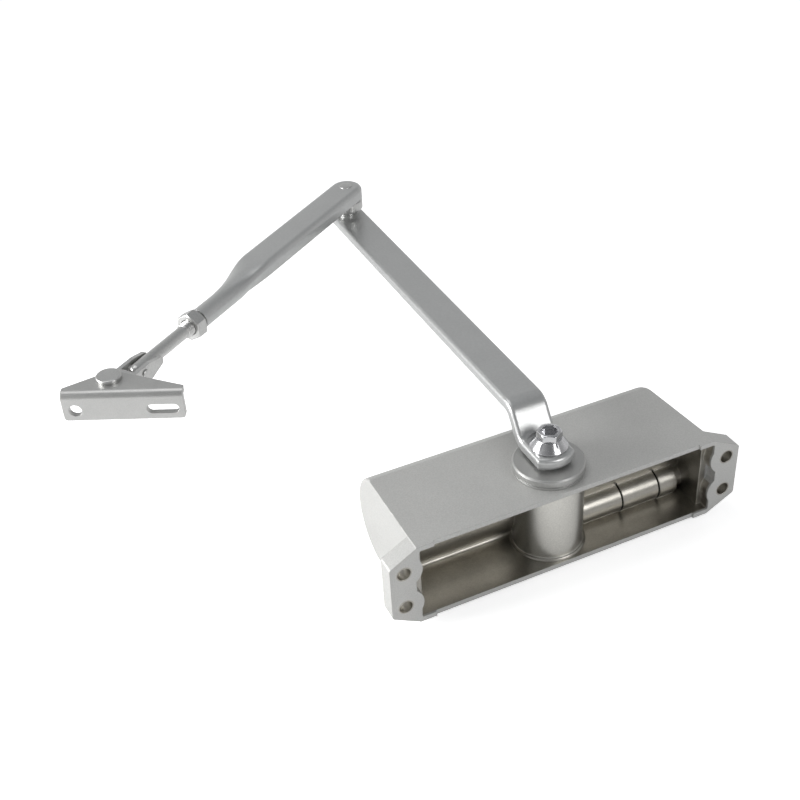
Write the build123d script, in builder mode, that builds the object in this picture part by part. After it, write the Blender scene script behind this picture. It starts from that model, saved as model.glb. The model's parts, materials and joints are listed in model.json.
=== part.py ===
from build123d import *
from math import acos, cos, pi, radians, sin, sqrt, tan
import os

# Overhead door closer, in millimetres.
# X runs along the body, Y runs from the mounting face into the body, Z runs up the spindle.
# The origin is the middle of the four screw holes, on the mounting face.

# Casting, outside
hole_pitch_x = 165.0
hole_pitch_z = 19.0
mount_hole_r = 3.1
ear_half_length = 89.1
ear_tip_half_height = 13.9
ear_root_x = 75.8
ear_root_offset = 1.3
ear_corner_r = 1.5
ear_thickness = 8.8
body_half_height = 21.5
body_flat_depth = 50.5
body_depth = 65.2
left_end_near = -76.2
left_end_far = -75.5
right_end_near = 74.6
right_end_far = 72.4
left_crown_set = 0.2
right_crown_set = 0.4
body_arris_r = 1.2
rim_recess = 1.0
rim_left = -68.0
rim_right = 67.0

# Casting, cavity behind the mounting face
plate_thickness = 2.4
end_wall_x = 72.3
cavity_corner_r = 1.6
boss_r = 8.7
pocket_depth = 5.5
pocket_half_length = 75.0
notch_half_length = 77.0
notch_half_height = 5.0
pocket_corner_r = 0.9
cylinder_wall_r = 21.5
foot_cove = 1.2
cove_sink = 0.5
cut_past = 1.0

# Main bore and piston
bore_y = 43.0
bore_r = 17.5
bore_blind_x = -69.0
plug_thread_r = 18.2
plug_seat_x = 60.0
plug_clearance = 0.05
plug_inset = 0.6
plug_edge = 0.8
plug_groove_inset = 2.0
plug_groove_width = 2.4
plug_groove_depth = 2.0
plug_ring_r = 0.97
plug_socket_r = 7.0
plug_socket_depth = 4.9
piston_clearance = 0.05
piston_half_length = 32.0
piston_edge = 0.8
piston_seal_inset = 6.0
spring_pocket_r = 15.2
spring_pocket_depth = 6.5

# Spindle, pinion and rack
spindle_x = -1.0
spindle_y = 19.75
gear_module = 1.5
pinion_teeth = 11
pressure_angle = radians(25)
tip_shortening = 0.075
root_clearance = 0.375
rack_addendum = 1.15
rack_mouth_past = 0.5
backlash = 0.2
pinion_half_width = 9.0
rack_half_length = 22.5
rack_side_spaces = 4
shaft_r = 7.0
shaft_collar_r = 8.4
shaft_collar_z = 9.8
drive_square = 10.0
drive_square_corner = 0.8
drive_hole_corner = 0.6
drive_square_fit = 0.03
drive_square_short = 0.3
tapped_hole_past = 2.0
shaft_fit = 0.04

# Tower
tower_r = 16.3
chamber_r = 10.4
bearing_seat_z = 13.0
bearing_height = 5.5
bearing_r = 11.0
bearing_fit = 0.02
bearing_edge = 0.4
end_float = 0.3
gland_thread_r = 12.8
gland_seat_z = 19.0
thread_clearance = 0.03
lower_boss_r = 16.4
lower_boss_height = 1.8
collar_r = 16.45
collar_height = 5.0
collar_chamfer = 0.7
collar_groove_depth = 0.35
collar_groove_width = 0.5
collar_groove_height = 1.2
seal_r = 10.4
seal_height = 4.5
seal_head_room = 0.2
seal_lip = 1.0
seal_floor = 1.4
cap_socket_flats = 8.0
cap_socket_depth = 2.6
cap_height = 3.6
cap_edge = 0.5
cap_groove_lift = 0.4
ring_clearance = 0.03

# Oil galleries with their valve screws
gallery_y = 23.5
gallery_z = 13.0
gallery_step_x = (38.3, 58.6, 68.0)
gallery_step_r = (7.5, 7.8, 8.2)
gallery_end_r = 2.6
gallery_tower_overlap = 3.0
gallery_wall_overlap = 0.5
gallery_bore_r = 1.6
gallery_inner_x = 24.0
port_r = 1.1
port_inset = 2.0
valve_head_r = 3.5
valve_head_length = 7.0
valve_face_inset = 1.0
valve_head_inset = 0.8
valve_stem_r = 2.4
valve_stem_length = 14.0
valve_tip_length = 3.0
valve_clearance = 0.05
valve_slot_width = 0.9
valve_slot_depth = 1.4
valve_edge = 0.4
valve_play = 0.3
valve_point_r = 0.5
valve_groove_inset = 2.0
valve_groove_width = 1.3
valve_ring_r = 0.55

# Main arm
arm_angle = radians(89.2)
arm_length = 230.75
arm_width = 18.6
arm_thickness = 6.0
arm_lower_z = 27.6
arm_rise = 13.4
arm_bend_angle = radians(55)
arm_bend_start = 7.9
arm_bend_inner_r = 4.0
arm_end_corner = 6.7
arm_end_reach = 10.3
arm_edge_r = 1.9
spot_face_r = 10.75
screw_flange_r = 9.0
screw_flange_edge = 0.9
screw_cone_height = 5.0
screw_cone_top_r = 5.9
screw_head_flats = 9.75
screw_head_height = 2.9
screw_socket_flats = 6.0
screw_socket_depth = 3.6
screw_seat_gap = 0.05
screw_cone_bulge_r = 9.0
screw_shank_r = 3.0
screw_shank_length = 12.0

# Elbow
bush_r = 7.7
bush_height = 8.0
bush_neck_r = 5.4
bush_edge_r = 0.8
elbow_pin_r = 3.6
elbow_head_r = 4.4
elbow_head_height = 0.9
elbow_head_edge_r = 0.6
elbow_foot_r = 6.2
elbow_foot_height = 1.5
elbow_foot_edge_r = 1.2
turning_gap = 0.3
pin_fit = 0.04

# Forearm
forearm_angle = radians(216.3)
forearm_width = 18.0
forearm_top_z = 63.5
forearm_height = 7.3
forearm_wall = 2.3
forearm_edge_r = 2.8
channel_length = 100.0
taper_end = 127.0
tube_end = 143.0
tube_r = 5.25
channel_rim_r = 0.5
closing_length = 4.0
closing_depth = 4.0
round_remainder = 0.02
hollow_remainder = 0.05
hollow_overlap = 0.01
rod_z = 55.4

# Adjusting rod and lock nut
thread_r = 4.0
thread_fit = 0.06
thread_start = 115.0
thread_end = 156.0
rod_r = 3.3
rod_chamfer = 0.6
nut_start = 145.0
nut_thickness = 6.5
nut_flats = 12.8
nut_corner_share = 1.11

# Clevis fork, its pin and the pivot
pin_station = 192.0
pivot_station = 209.5
cheek_start = 180.0
cheek_end = 200.0
cheek_drop = 5.0
cheek_shoulder = 4.0
cheek_nose_half_height = 2.0
cheek_nose_length = 1.2
cheek_thickness = 2.1
fork_gap = 0.3
fork_rod_gap = 0.2
fork_plate_thickness = 2.2
fork_plate_r = 8.0
fork_web_start = 197.6
clevis_pin_r = 2.0
clevis_pin_proud = 0.7
clevis_pin_edge = 0.3

# Foot bracket
bracket_angle = radians(-26.57)
bracket_left = 20.1
bracket_right = 34.9
bracket_front = 11.9
bracket_side = 5.1
bracket_apex_r = 6.6
bracket_thickness = 2.8
bracket_bend_r = 3.2
flange_height = 14.2
flange_corner_r = 1.6
bracket_hole_r = 3.0
bracket_hole_inset = 5.75
bracket_slot_length = 14.6
bracket_slot_r = 2.4
bracket_slot_inset = 9.63
bracket_hole_drop = 8.95
pivot_shank_r = 3.0
pivot_head_r = 5.85
pivot_head_height = 2.1
pivot_head_edge_r = 0.7
pivot_foot_r = 4.6
pivot_foot_height = 1.4
pivot_foot_edge_r = 0.8

# Springs and the check valve
outer_wire_r = 1.5
outer_coil_r = 13.4
outer_turns = 7
inner_wire_r = 1.0
inner_coil_r = 8.6
inner_turns = 9
spring_seat_thickness = 1.5
spring_seat_margin = 0.4
seat_hole_margin = 1.5
seat_rib_height = 1.5
spring_clearance = 0.1
check_ball_r = 2.3
check_bore_r = 2.5
check_seat_r = 1.5
check_pocket_depth = 9.0
check_passage_length = 8.0
cross_passage_inset = 6.0
check_play = 0.3
retainer_length = 2.5
retainer_hole_r = 1.3

# Seal rings
seal_groove_width = 2.6
seal_groove_depth = 1.6
seal_clearance = 0.05

# Sizes that follow from the ones above
piston_r = bore_r - piston_clearance
pitch_r = gear_module * pinion_teeth / 2
tip_r = pitch_r + gear_module - tip_shortening
root_r = pitch_r - gear_module - root_clearance
base_r = pitch_r * cos(pressure_angle)
tooth_pitch = pi * gear_module
rack_pitch_y = spindle_y + pitch_r
rack_tip_y = rack_pitch_y - rack_addendum
rack_mouth_y = rack_tip_y - rack_mouth_past
rack_root_y = rack_pitch_y + gear_module + root_clearance
bearing_inner_z = bearing_seat_z + end_float
bearing_outer_z = bearing_inner_z + bearing_height
cavity_half_height = body_half_height - plate_thickness
lower_face_z = -body_half_height - lower_boss_height
collar_top_z = body_half_height + collar_height
arm_top_z = arm_lower_z + arm_thickness
bar_lower_z = arm_lower_z + arm_rise
bar_top_z = bar_lower_z + arm_thickness
forearm_web_z = forearm_top_z - forearm_wall
forearm_low_z = forearm_top_z - forearm_height
rod_top_z = rod_z + rod_r
fork_top_z = rod_top_z + fork_rod_gap
cheek_low_z = rod_z - cheek_drop
flange_low_z = fork_top_z + turning_gap
flange_top_z = flange_low_z + bracket_thickness
fork_inner = rod_r + fork_gap
fork_outer = fork_inner + cheek_thickness
fork_plate_low_z = fork_top_z - fork_plate_thickness
piston_left = spindle_x - piston_half_length
piston_right = spindle_x + piston_half_length

# Planes that the arms are drawn on
arm_dir = Vector(cos(arm_angle), sin(arm_angle), 0)
elbow_x = spindle_x + arm_length * arm_dir.X
elbow_y = spindle_y + arm_length * arm_dir.Y
rod_dir = Vector(cos(forearm_angle), sin(forearm_angle), 0)
pivot_x = elbow_x + pivot_station * rod_dir.X
pivot_y = elbow_y + pivot_station * rod_dir.Y


def arm_level(z):
    """Plane at height z with X along the main arm, from the spindle axis."""
    return Plane(origin=(spindle_x, spindle_y, z), x_dir=arm_dir, z_dir=(0, 0, 1))


def arm_side():
    """Upright plane through the main arm, X along the arm and Y up."""
    return Plane(origin=(spindle_x, spindle_y, 0), x_dir=arm_dir, z_dir=(arm_dir.Y, -arm_dir.X, 0))


def spindle_level(z):
    """Plane at height z on the spindle axis, X along the body."""
    return Plane(origin=(spindle_x, spindle_y, z), x_dir=(1, 0, 0), z_dir=(0, 0, 1))


def rod_level(z):
    """Plane at height z with X along the forearm, from the elbow axis."""
    return Plane(origin=(elbow_x, elbow_y, z), x_dir=rod_dir, z_dir=(0, 0, 1))


def rod_side():
    """Upright plane through the forearm, X along it and Y up."""
    return Plane(origin=(elbow_x, elbow_y, 0), x_dir=rod_dir, z_dir=(rod_dir.Y, -rod_dir.X, 0))


def rod_section(station):
    """Plane square to the rod at a distance from the elbow, on the rod axis, Y up."""
    centre = (elbow_x + station * rod_dir.X, elbow_y + station * rod_dir.Y, rod_z)
    return Plane(origin=centre, x_dir=(rod_dir.Y, -rod_dir.X, 0), z_dir=-rod_dir)


def bracket_level(z):
    """Plane at height z on the pivot, X along the bracket and Y to its back."""
    along = (cos(bracket_angle), sin(bracket_angle), 0)
    return Plane(origin=(pivot_x, pivot_y, z), x_dir=along, z_dir=(0, 0, 1))


def bracket_face():
    """Upright plane on the bracket's front face, X along it and Y up."""
    along = Vector(cos(bracket_angle), sin(bracket_angle), 0)
    front = Vector(along.Y, -along.X, 0)
    centre = Vector(pivot_x, pivot_y, 0) + front * bracket_front
    return Plane(origin=centre, x_dir=along, z_dir=front)


def save(part, label):
    """Name a finished piece and write its STEP file."""
    part.label = label
    export_step(part, f"parts/{label}.step")


os.makedirs("parts", exist_ok=True)

# Housing: one casting with ears, back cavity, tower, cylinder and galleries
right_end_bore = right_end_near + right_crown_set
right_root_x = ear_root_x - ear_root_offset
cavity_low_y = bore_y - sqrt(cylinder_wall_r**2 - cavity_half_height**2)
gland_depth = body_half_height - gland_seat_z
with BuildPart() as housing:
    with BuildSketch(Plane.YZ.offset(left_end_near)) as body_section:
        with BuildLine() as body_outline:
            Polyline((body_flat_depth, body_half_height), (0, body_half_height), (0, -body_half_height),
                     (body_flat_depth, -body_half_height))
            ThreePointArc((body_flat_depth, -body_half_height), (body_depth, 0),
                          (body_flat_depth, body_half_height))
        make_face()
    extrude(amount=right_end_near - left_end_near)
    with BuildSketch(Plane.XY.offset(-body_half_height)) as body_plan:
        with BuildLine() as plan_outline:
            Polyline((left_end_near, 0), (left_end_near, ear_thickness), (left_end_far, body_flat_depth),
                     (left_end_far + left_crown_set, body_depth),
                     (right_end_far - right_crown_set, body_depth),
                     (right_end_far, body_flat_depth), (right_end_near, ear_thickness),
                     (right_end_near, 0), close=True)
        make_face()
    extrude(amount=2 * body_half_height, mode=Mode.INTERSECT)
    fillet([e for e in housing.edges() if e.center().Y > body_flat_depth + 2 * cut_past], body_arris_r)
    with BuildSketch(Plane.XZ) as ear_section:
        with BuildLine() as ear_outline:
            Polyline((-ear_half_length, ear_tip_half_height), (-ear_root_x, body_half_height),
                     (right_root_x, body_half_height), (ear_half_length, ear_tip_half_height),
                     (ear_half_length, -ear_tip_half_height), (right_root_x, -body_half_height),
                     (-ear_root_x, -body_half_height), (-ear_half_length, -ear_tip_half_height),
                     close=True)
        make_face()
        fillet(ear_section.vertices().group_by(SortBy.DISTANCE)[-1], ear_corner_r)
    extrude(amount=-ear_thickness)
    with BuildSketch(spindle_level(lower_face_z)) as lower_boss:
        Circle(lower_boss_r)
    extrude(amount=lower_boss_height + cut_past)

    with BuildSketch(Plane.XZ) as rim_cut:
        with Locations(((rim_left + rim_right) / 2, 0)):
            Rectangle(rim_right - rim_left, 3 * body_half_height)
    extrude(amount=-rim_recess, mode=Mode.SUBTRACT)
    with BuildSketch(Plane.XZ) as end_pockets:
        Rectangle(2 * pocket_half_length, 2 * cavity_half_height)
        Rectangle(2 * notch_half_length, 2 * notch_half_height)
        fillet(end_pockets.vertices(), pocket_corner_r)
        with GridLocations(hole_pitch_x, hole_pitch_z, 2, 2):
            Circle(boss_r, mode=Mode.SUBTRACT)
    extrude(amount=-pocket_depth, mode=Mode.SUBTRACT)
    with BuildSketch(Plane.YZ.offset(-end_wall_x)) as cavity_section:
        with BuildLine() as cavity_outline:
            Polyline((cavity_low_y, cavity_half_height), (-cut_past, cavity_half_height),
                     (-cut_past, -cavity_half_height), (cavity_low_y, -cavity_half_height))
            ThreePointArc((cavity_low_y, -cavity_half_height), (bore_y - cylinder_wall_r, 0),
                          (cavity_low_y, cavity_half_height))
        make_face()
        fillet(cavity_section.vertices().group_by(Axis.X)[-1], cavity_corner_r)
    extrude(amount=2 * end_wall_x, mode=Mode.SUBTRACT)

    with BuildSketch(spindle_level(-cavity_half_height - cut_past)) as tower_section:
        Circle(tower_r)
    extrude(amount=2 * cavity_half_height + 2 * cut_past)
    for side in (-1, 1):
        with BuildSketch(Plane(origin=(spindle_x, spindle_y, side * cavity_half_height),
                               x_dir=(1, 0, 0), z_dir=(0, -1, 0))) as cove_section:
            with BuildLine() as cove_outline:
                Polyline((tower_r, -side * foot_cove), (tower_r - cut_past, -side * foot_cove),
                         (tower_r - cut_past, side * cove_sink), (tower_r + foot_cove, side * cove_sink),
                         (tower_r + foot_cove, 0))
                RadiusArc((tower_r + foot_cove, 0), (tower_r, -side * foot_cove), side * foot_cove)
            make_face()
        revolve(axis=Axis((spindle_x, spindle_y, 0), (0, 0, 1)))
        start_x = spindle_x + tower_r - gallery_tower_overlap
        for end_x, step_r in zip(gallery_step_x, gallery_step_r):
            with BuildSketch(Plane.YZ.offset(start_x)) as gallery_section:
                with Locations((gallery_y, side * gallery_z)):
                    Circle(step_r)
            extrude(amount=end_x - start_x)
            start_x = end_x
        with BuildSketch(Plane.YZ.offset(gallery_step_x[-1])) as gallery_bridge:
            with Locations((gallery_y, side * gallery_z)):
                Circle(gallery_step_r[-1] - gallery_end_r)
        extrude(amount=end_wall_x - gallery_step_x[-1] + gallery_wall_overlap)

    with BuildSketch(Plane.YZ.offset(bore_blind_x)) as bore_section:
        with Locations((bore_y, 0)):
            Circle(bore_r)
    extrude(amount=right_end_bore - bore_blind_x, mode=Mode.SUBTRACT)
    with BuildSketch(Plane.YZ.offset(plug_seat_x)) as plug_section:
        with Locations((bore_y, 0)):
            Circle(plug_thread_r)
    extrude(amount=right_end_bore - plug_seat_x, mode=Mode.SUBTRACT)
    with BuildSketch(spindle_level(-bearing_seat_z)) as chamber_section:
        Circle(chamber_r)
    extrude(amount=2 * bearing_seat_z, mode=Mode.SUBTRACT)
    with BuildSketch(spindle_level(-gland_seat_z)) as lower_seat:
        Circle(bearing_r + bearing_fit)
    extrude(amount=gland_seat_z - bearing_seat_z, mode=Mode.SUBTRACT)
    with BuildSketch(spindle_level(gland_seat_z)) as upper_seat:
        Circle(bearing_r + bearing_fit)
    extrude(amount=bearing_seat_z - gland_seat_z, mode=Mode.SUBTRACT)
    with BuildSketch(spindle_level(gland_seat_z)) as gland_bore:
        Circle(gland_thread_r + thread_clearance)
    extrude(amount=gland_depth + cut_past, mode=Mode.SUBTRACT)
    with BuildSketch(spindle_level(lower_face_z)) as cap_bore:
        Circle(gland_thread_r + thread_clearance)
    extrude(amount=-gland_seat_z - lower_face_z, mode=Mode.SUBTRACT)
    valve_face_x = right_end_near - valve_face_inset
    valve_head_x = valve_face_x - valve_head_inset - valve_head_length
    valve_tip_x = valve_head_x - valve_stem_length - valve_tip_length
    for side in (-1, 1):
        with BuildSketch(Plane.YZ.offset(valve_head_x)) as valve_head_bore:
            with Locations((gallery_y, side * gallery_z)):
                Circle(valve_head_r + valve_clearance)
        extrude(amount=right_end_bore - valve_head_x, mode=Mode.SUBTRACT)
        with BuildSketch(Plane.YZ.offset(valve_tip_x)) as valve_stem_bore:
            with Locations((gallery_y, side * gallery_z)):
                Circle(valve_stem_r + valve_clearance)
        extrude(amount=valve_head_x - valve_tip_x, mode=Mode.SUBTRACT)
        with BuildSketch(Plane.YZ.offset(gallery_inner_x)) as gallery_bore:
            with Locations((gallery_y, side * gallery_z)):
                Circle(gallery_bore_r)
        extrude(amount=valve_tip_x - gallery_inner_x, mode=Mode.SUBTRACT)
        for port_x in (gallery_inner_x + port_inset, valve_tip_x + port_inset):
            port_reach = bore_y - gallery_y
            with BuildSketch(Plane(origin=(port_x, gallery_y, side * gallery_z), x_dir=(1, 0, 0),
                                   z_dir=(0, port_reach, -side * gallery_z))) as port_section:
                Circle(port_r)
            extrude(amount=port_reach / 2, mode=Mode.SUBTRACT)
    with BuildSketch(Plane.XZ) as screw_holes:
        with GridLocations(hole_pitch_x, hole_pitch_z, 2, 2):
            Circle(mount_hole_r)
    extrude(amount=-ear_thickness - cut_past, mode=Mode.SUBTRACT)
save(housing.part, "housing")

# Pinion shaft: involute pinion between two journals, square drive on top
flank_radii = (base_r, 0.6 * base_r + 0.4 * tip_r, tip_r)
tooth_half_angle = (tooth_pitch / 2 - backlash) / (2 * pitch_r)


def involute(radius):
    """Involute function at a radius of the pinion."""
    angle = acos(min(1.0, base_r / radius))
    return tan(angle) - angle


def flank_point(radius, centre_angle, side):
    """Point of a tooth flank, on one side of the tooth's centre line."""
    half = tooth_half_angle + involute(pitch_r) - involute(radius)
    angle = centre_angle + side * half
    return (radius * cos(angle), radius * sin(angle))


with BuildPart() as pinion_shaft:
    with BuildSketch(spindle_level(-pinion_half_width)) as pinion_section:
        with BuildLine() as pinion_outline:
            for tooth in range(pinion_teeth):
                middle = pi / 2 + 2 * pi * tooth / pinion_teeth
                rise = [flank_point(r, middle, -1) for r in flank_radii]
                fall = [flank_point(r, middle, 1) for r in reversed(flank_radii)]
                half_root = tooth_half_angle + involute(pitch_r)
                next_root = middle + 2 * pi / pinion_teeth - half_root
                foot_in = (root_r * cos(middle - half_root), root_r * sin(middle - half_root))
                foot_out = (root_r * cos(middle + half_root), root_r * sin(middle + half_root))
                foot_next = (root_r * cos(next_root), root_r * sin(next_root))
                Line(foot_in, rise[0])
                ThreePointArc(*rise)
                Line(rise[-1], fall[0])
                ThreePointArc(*fall)
                Line(fall[-1], foot_out)
                Line(foot_out, foot_next)
        make_face()
    extrude(amount=2 * pinion_half_width)
    with BuildSketch(spindle_level(-bearing_outer_z)) as journal_section:
        Circle(shaft_r)
    extrude(amount=bearing_outer_z + arm_lower_z)
    for base_z in (-bearing_seat_z, shaft_collar_z):
        with BuildSketch(spindle_level(base_z)) as thrust_section:
            Circle(shaft_collar_r)
        extrude(amount=bearing_seat_z - shaft_collar_z)
    with BuildSketch(arm_level(arm_lower_z)) as square_section:
        Rectangle(drive_square, drive_square)
        fillet(square_section.vertices(), drive_square_corner)
    extrude(amount=arm_thickness - drive_square_short)
    with BuildSketch(spindle_level(arm_top_z)) as tapped_hole:
        Circle(screw_shank_r + thread_clearance)
    extrude(amount=-screw_shank_length - tapped_hole_past, mode=Mode.SUBTRACT)
save(pinion_shaft.part, "pinion_shaft")

# Bearings: one bush above the pinion, one below
for name, base_z in (("upper_bearing", bearing_inner_z), ("lower_bearing", -bearing_outer_z)):
    with BuildPart() as bearing:
        with BuildSketch(spindle_level(base_z)) as bearing_section:
            Circle(bearing_r)
            Circle(shaft_r + shaft_fit, mode=Mode.SUBTRACT)
        extrude(amount=bearing_height)
        chamfer(bearing.edges().filter_by(GeomType.CIRCLE).group_by(SortBy.RADIUS)[-1], bearing_edge)
    save(bearing.part, name)

# Spindle collar: screwed gland that closes the tower and carries the seal
with BuildPart() as spindle_collar:
    with BuildSketch(spindle_level(body_half_height)) as flange_section:
        Circle(collar_r)
    extrude(amount=collar_height)
    chamfer(spindle_collar.edges().group_by(Axis.Z)[-1], collar_chamfer)
    with BuildSketch(spindle_level(gland_seat_z)) as spigot_section:
        Circle(gland_thread_r)
    extrude(amount=gland_depth)
    with BuildSketch(spindle_level(body_half_height + collar_groove_height)) as rim_groove:
        Circle(collar_r + 1)
        Circle(collar_r - collar_groove_depth, mode=Mode.SUBTRACT)
    extrude(amount=collar_groove_width, mode=Mode.SUBTRACT)
    with BuildSketch(spindle_level(gland_seat_z)) as seal_pocket:
        Circle(seal_r + seal_clearance)
    extrude(amount=seal_height + seal_head_room, mode=Mode.SUBTRACT)
    with BuildSketch(spindle_level(gland_seat_z)) as shaft_hole:
        Circle(shaft_r + turning_gap)
    extrude(amount=collar_top_z - gland_seat_z, mode=Mode.SUBTRACT)
save(spindle_collar.part, "spindle_collar")

# Upper seal: lip ring under the collar
with BuildPart() as upper_seal:
    with BuildSketch(spindle_level(gland_seat_z)) as seal_section:
        Circle(seal_r)
        Circle(shaft_r + shaft_fit, mode=Mode.SUBTRACT)
    extrude(amount=seal_height)
    with BuildSketch(spindle_level(gland_seat_z)) as lip_groove:
        Circle(seal_r - seal_lip)
        Circle(shaft_r + seal_lip, mode=Mode.SUBTRACT)
    extrude(amount=seal_height - seal_floor, mode=Mode.SUBTRACT)
save(upper_seal.part, "upper_seal")

# Lower cap: screwed plug under the tower, with its ring
cap_top_z = lower_face_z + cap_height
cap_groove_z = (lower_face_z + cap_top_z) / 2 + cap_groove_lift
with BuildPart() as lower_cap:
    with BuildSketch(spindle_level(lower_face_z)) as cap_section:
        Circle(gland_thread_r)
    extrude(amount=cap_height)
    chamfer(lower_cap.edges().group_by(Axis.Z)[0], cap_edge)
    with BuildSketch(spindle_level(lower_face_z)) as cap_socket:
        RegularPolygon(cap_socket_flats / 2, 6, major_radius=False)
    extrude(amount=cap_socket_depth, mode=Mode.SUBTRACT)
    with BuildSketch(spindle_level(cap_groove_z)) as cap_groove:
        Circle(gland_thread_r + 1)
        Circle(gland_thread_r - 2 * valve_ring_r, mode=Mode.SUBTRACT)
    extrude(amount=2 * valve_ring_r, mode=Mode.SUBTRACT)
save(lower_cap.part, "lower_cap")

with BuildPart() as lower_cap_o_ring:
    with BuildSketch(Plane(origin=(spindle_x, spindle_y, cap_groove_z + valve_ring_r), x_dir=(1, 0, 0),
                           z_dir=(0, -1, 0))) as cap_ring_section:
        with Locations((gland_thread_r - valve_ring_r, 0)):
            Circle(valve_ring_r - ring_clearance)
    revolve(axis=Axis((spindle_x, spindle_y, 0), (0, 0, 1)))
save(lower_cap_o_ring.part, "lower_cap_o_ring")

# Piston with the rack cut into its near flank
seal_groove_x = piston_right - piston_seal_inset
with BuildPart() as piston:
    with BuildSketch(Plane.YZ.offset(piston_left)) as piston_section:
        with Locations((bore_y, 0)):
            Circle(piston_r)
    extrude(amount=2 * piston_half_length)
    chamfer(piston.edges().filter_by(GeomType.CIRCLE), piston_edge)
    with BuildSketch(Plane.XY.offset(-bore_r)) as rack_flat:
        with Locations((spindle_x, bore_y - bore_r)):
            Rectangle(2 * rack_half_length, 2 * (rack_tip_y - bore_y + bore_r))
    extrude(amount=2 * bore_r, mode=Mode.SUBTRACT)
    half_space = tooth_pitch / 4 + backlash / 2
    half_mouth = half_space + (rack_addendum + rack_mouth_past) * tan(pressure_angle)
    half_root = half_space - (rack_root_y - rack_pitch_y) * tan(pressure_angle)
    with BuildSketch(Plane.XY.offset(-bore_r)) as rack_spaces:
        for space in range(-rack_side_spaces, rack_side_spaces + 1):
            middle_x = spindle_x + space * tooth_pitch
            with BuildLine() as space_outline:
                Polyline((middle_x - half_mouth, rack_mouth_y), (middle_x - half_root, rack_root_y),
                         (middle_x + half_root, rack_root_y), (middle_x + half_mouth, rack_mouth_y),
                         close=True)
            make_face()
    extrude(amount=2 * bore_r, mode=Mode.SUBTRACT)
    with BuildSketch(Plane.YZ.offset(piston_left)) as spring_pocket:
        with Locations((bore_y, 0)):
            Circle(spring_pocket_r)
    extrude(amount=spring_pocket_depth, mode=Mode.SUBTRACT)
    with BuildSketch(Plane.YZ.offset(seal_groove_x)) as seal_groove:
        with Locations((bore_y, 0)):
            Circle(piston_r + 1)
            Circle(piston_r - seal_groove_depth, mode=Mode.SUBTRACT)
    extrude(amount=seal_groove_width, mode=Mode.SUBTRACT)
    with BuildSketch(Plane.YZ.offset(piston_right)) as check_bore:
        with Locations((bore_y, 0)):
            Circle(check_bore_r)
    extrude(amount=-check_pocket_depth, mode=Mode.SUBTRACT)
    with BuildSketch(Plane.YZ.offset(piston_right)) as check_passage:
        with Locations((bore_y, 0)):
            Circle(check_seat_r)
    extrude(amount=-check_pocket_depth - check_passage_length, mode=Mode.SUBTRACT)
    with BuildSketch(Plane.XZ.offset(-bore_y)) as cross_passage:
        with Locations((piston_right - check_pocket_depth - cross_passage_inset, 0)):
            Circle(check_seat_r)
    extrude(amount=bore_y - rack_tip_y + 1, mode=Mode.SUBTRACT)
save(piston.part, "piston")

# Piston seal ring
with BuildPart() as piston_seal:
    with BuildSketch(Plane.YZ.offset(seal_groove_x + seal_clearance)) as piston_seal_section:
        with Locations((bore_y, 0)):
            Circle(piston_r)
            Circle(piston_r - seal_groove_depth + seal_clearance, mode=Mode.SUBTRACT)
    extrude(amount=seal_groove_width - 2 * seal_clearance)
save(piston_seal.part, "piston_seal")

# Check valve: a ball behind a screwed retainer, in the piston's right face
ball_x = piston_right - check_pocket_depth + check_ball_r + check_play
with BuildPart() as check_valve_ball:
    with BuildSketch(Plane.XY) as ball_section:
        with BuildLine() as ball_outline:
            CenterArc((ball_x, bore_y), check_ball_r, 0, 180)
            Line((ball_x - check_ball_r, bore_y), (ball_x + check_ball_r, bore_y))
        make_face()
    revolve(axis=Axis((0, bore_y, 0), (1, 0, 0)))
save(check_valve_ball.part, "check_valve_ball")

with BuildPart() as check_valve_retainer:
    with BuildSketch(Plane.YZ.offset(piston_right)) as retainer_section:
        with Locations((bore_y, 0)):
            Circle(check_bore_r - thread_clearance)
            Circle(retainer_hole_r, mode=Mode.SUBTRACT)
    extrude(amount=-retainer_length)
save(check_valve_retainer.part, "check_valve_retainer")

# Springs, seated between the blind end and the piston's pocket
seat_face_x = bore_blind_x + spring_seat_thickness
pocket_face_x = piston_left + spring_pocket_depth
with BuildPart() as spring_seat:
    with BuildSketch(Plane.YZ.offset(bore_blind_x)) as seat_section:
        with Locations((bore_y, 0)):
            Circle(bore_r - spring_seat_margin)
            Circle(inner_coil_r - inner_wire_r - seat_hole_margin, mode=Mode.SUBTRACT)
    extrude(amount=spring_seat_thickness)
    with BuildSketch(Plane.YZ.offset(seat_face_x)) as seat_rib:
        with Locations((bore_y, 0)):
            Circle(outer_coil_r - outer_wire_r - spring_seat_margin)
            Circle(inner_coil_r + inner_wire_r + spring_seat_margin, mode=Mode.SUBTRACT)
    extrude(amount=seat_rib_height)
save(spring_seat.part, "spring_seat")

spring_specs = (
    ("outer_spring", outer_wire_r, outer_coil_r, outer_turns, False),
    ("inner_spring", inner_wire_r, inner_coil_r, inner_turns, True),
)
for name, wire_r, coil_r, turns, left_hand in spring_specs:
    first_x = seat_face_x + wire_r + spring_clearance
    rise_x = pocket_face_x - spring_clearance - wire_r - first_x
    with BuildPart() as spring:
        with BuildLine() as spring_path:
            Helix(rise_x / turns, rise_x, coil_r, center=(first_x, bore_y, 0), direction=(1, 0, 0),
                  lefthand=left_hand)
        with BuildSketch(Plane(origin=spring_path.line @ 0, z_dir=spring_path.line % 0)) as wire_section:
            Circle(wire_r)
        sweep(path=spring_path.line, is_frenet=True)
    save(spring.part, name)

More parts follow.
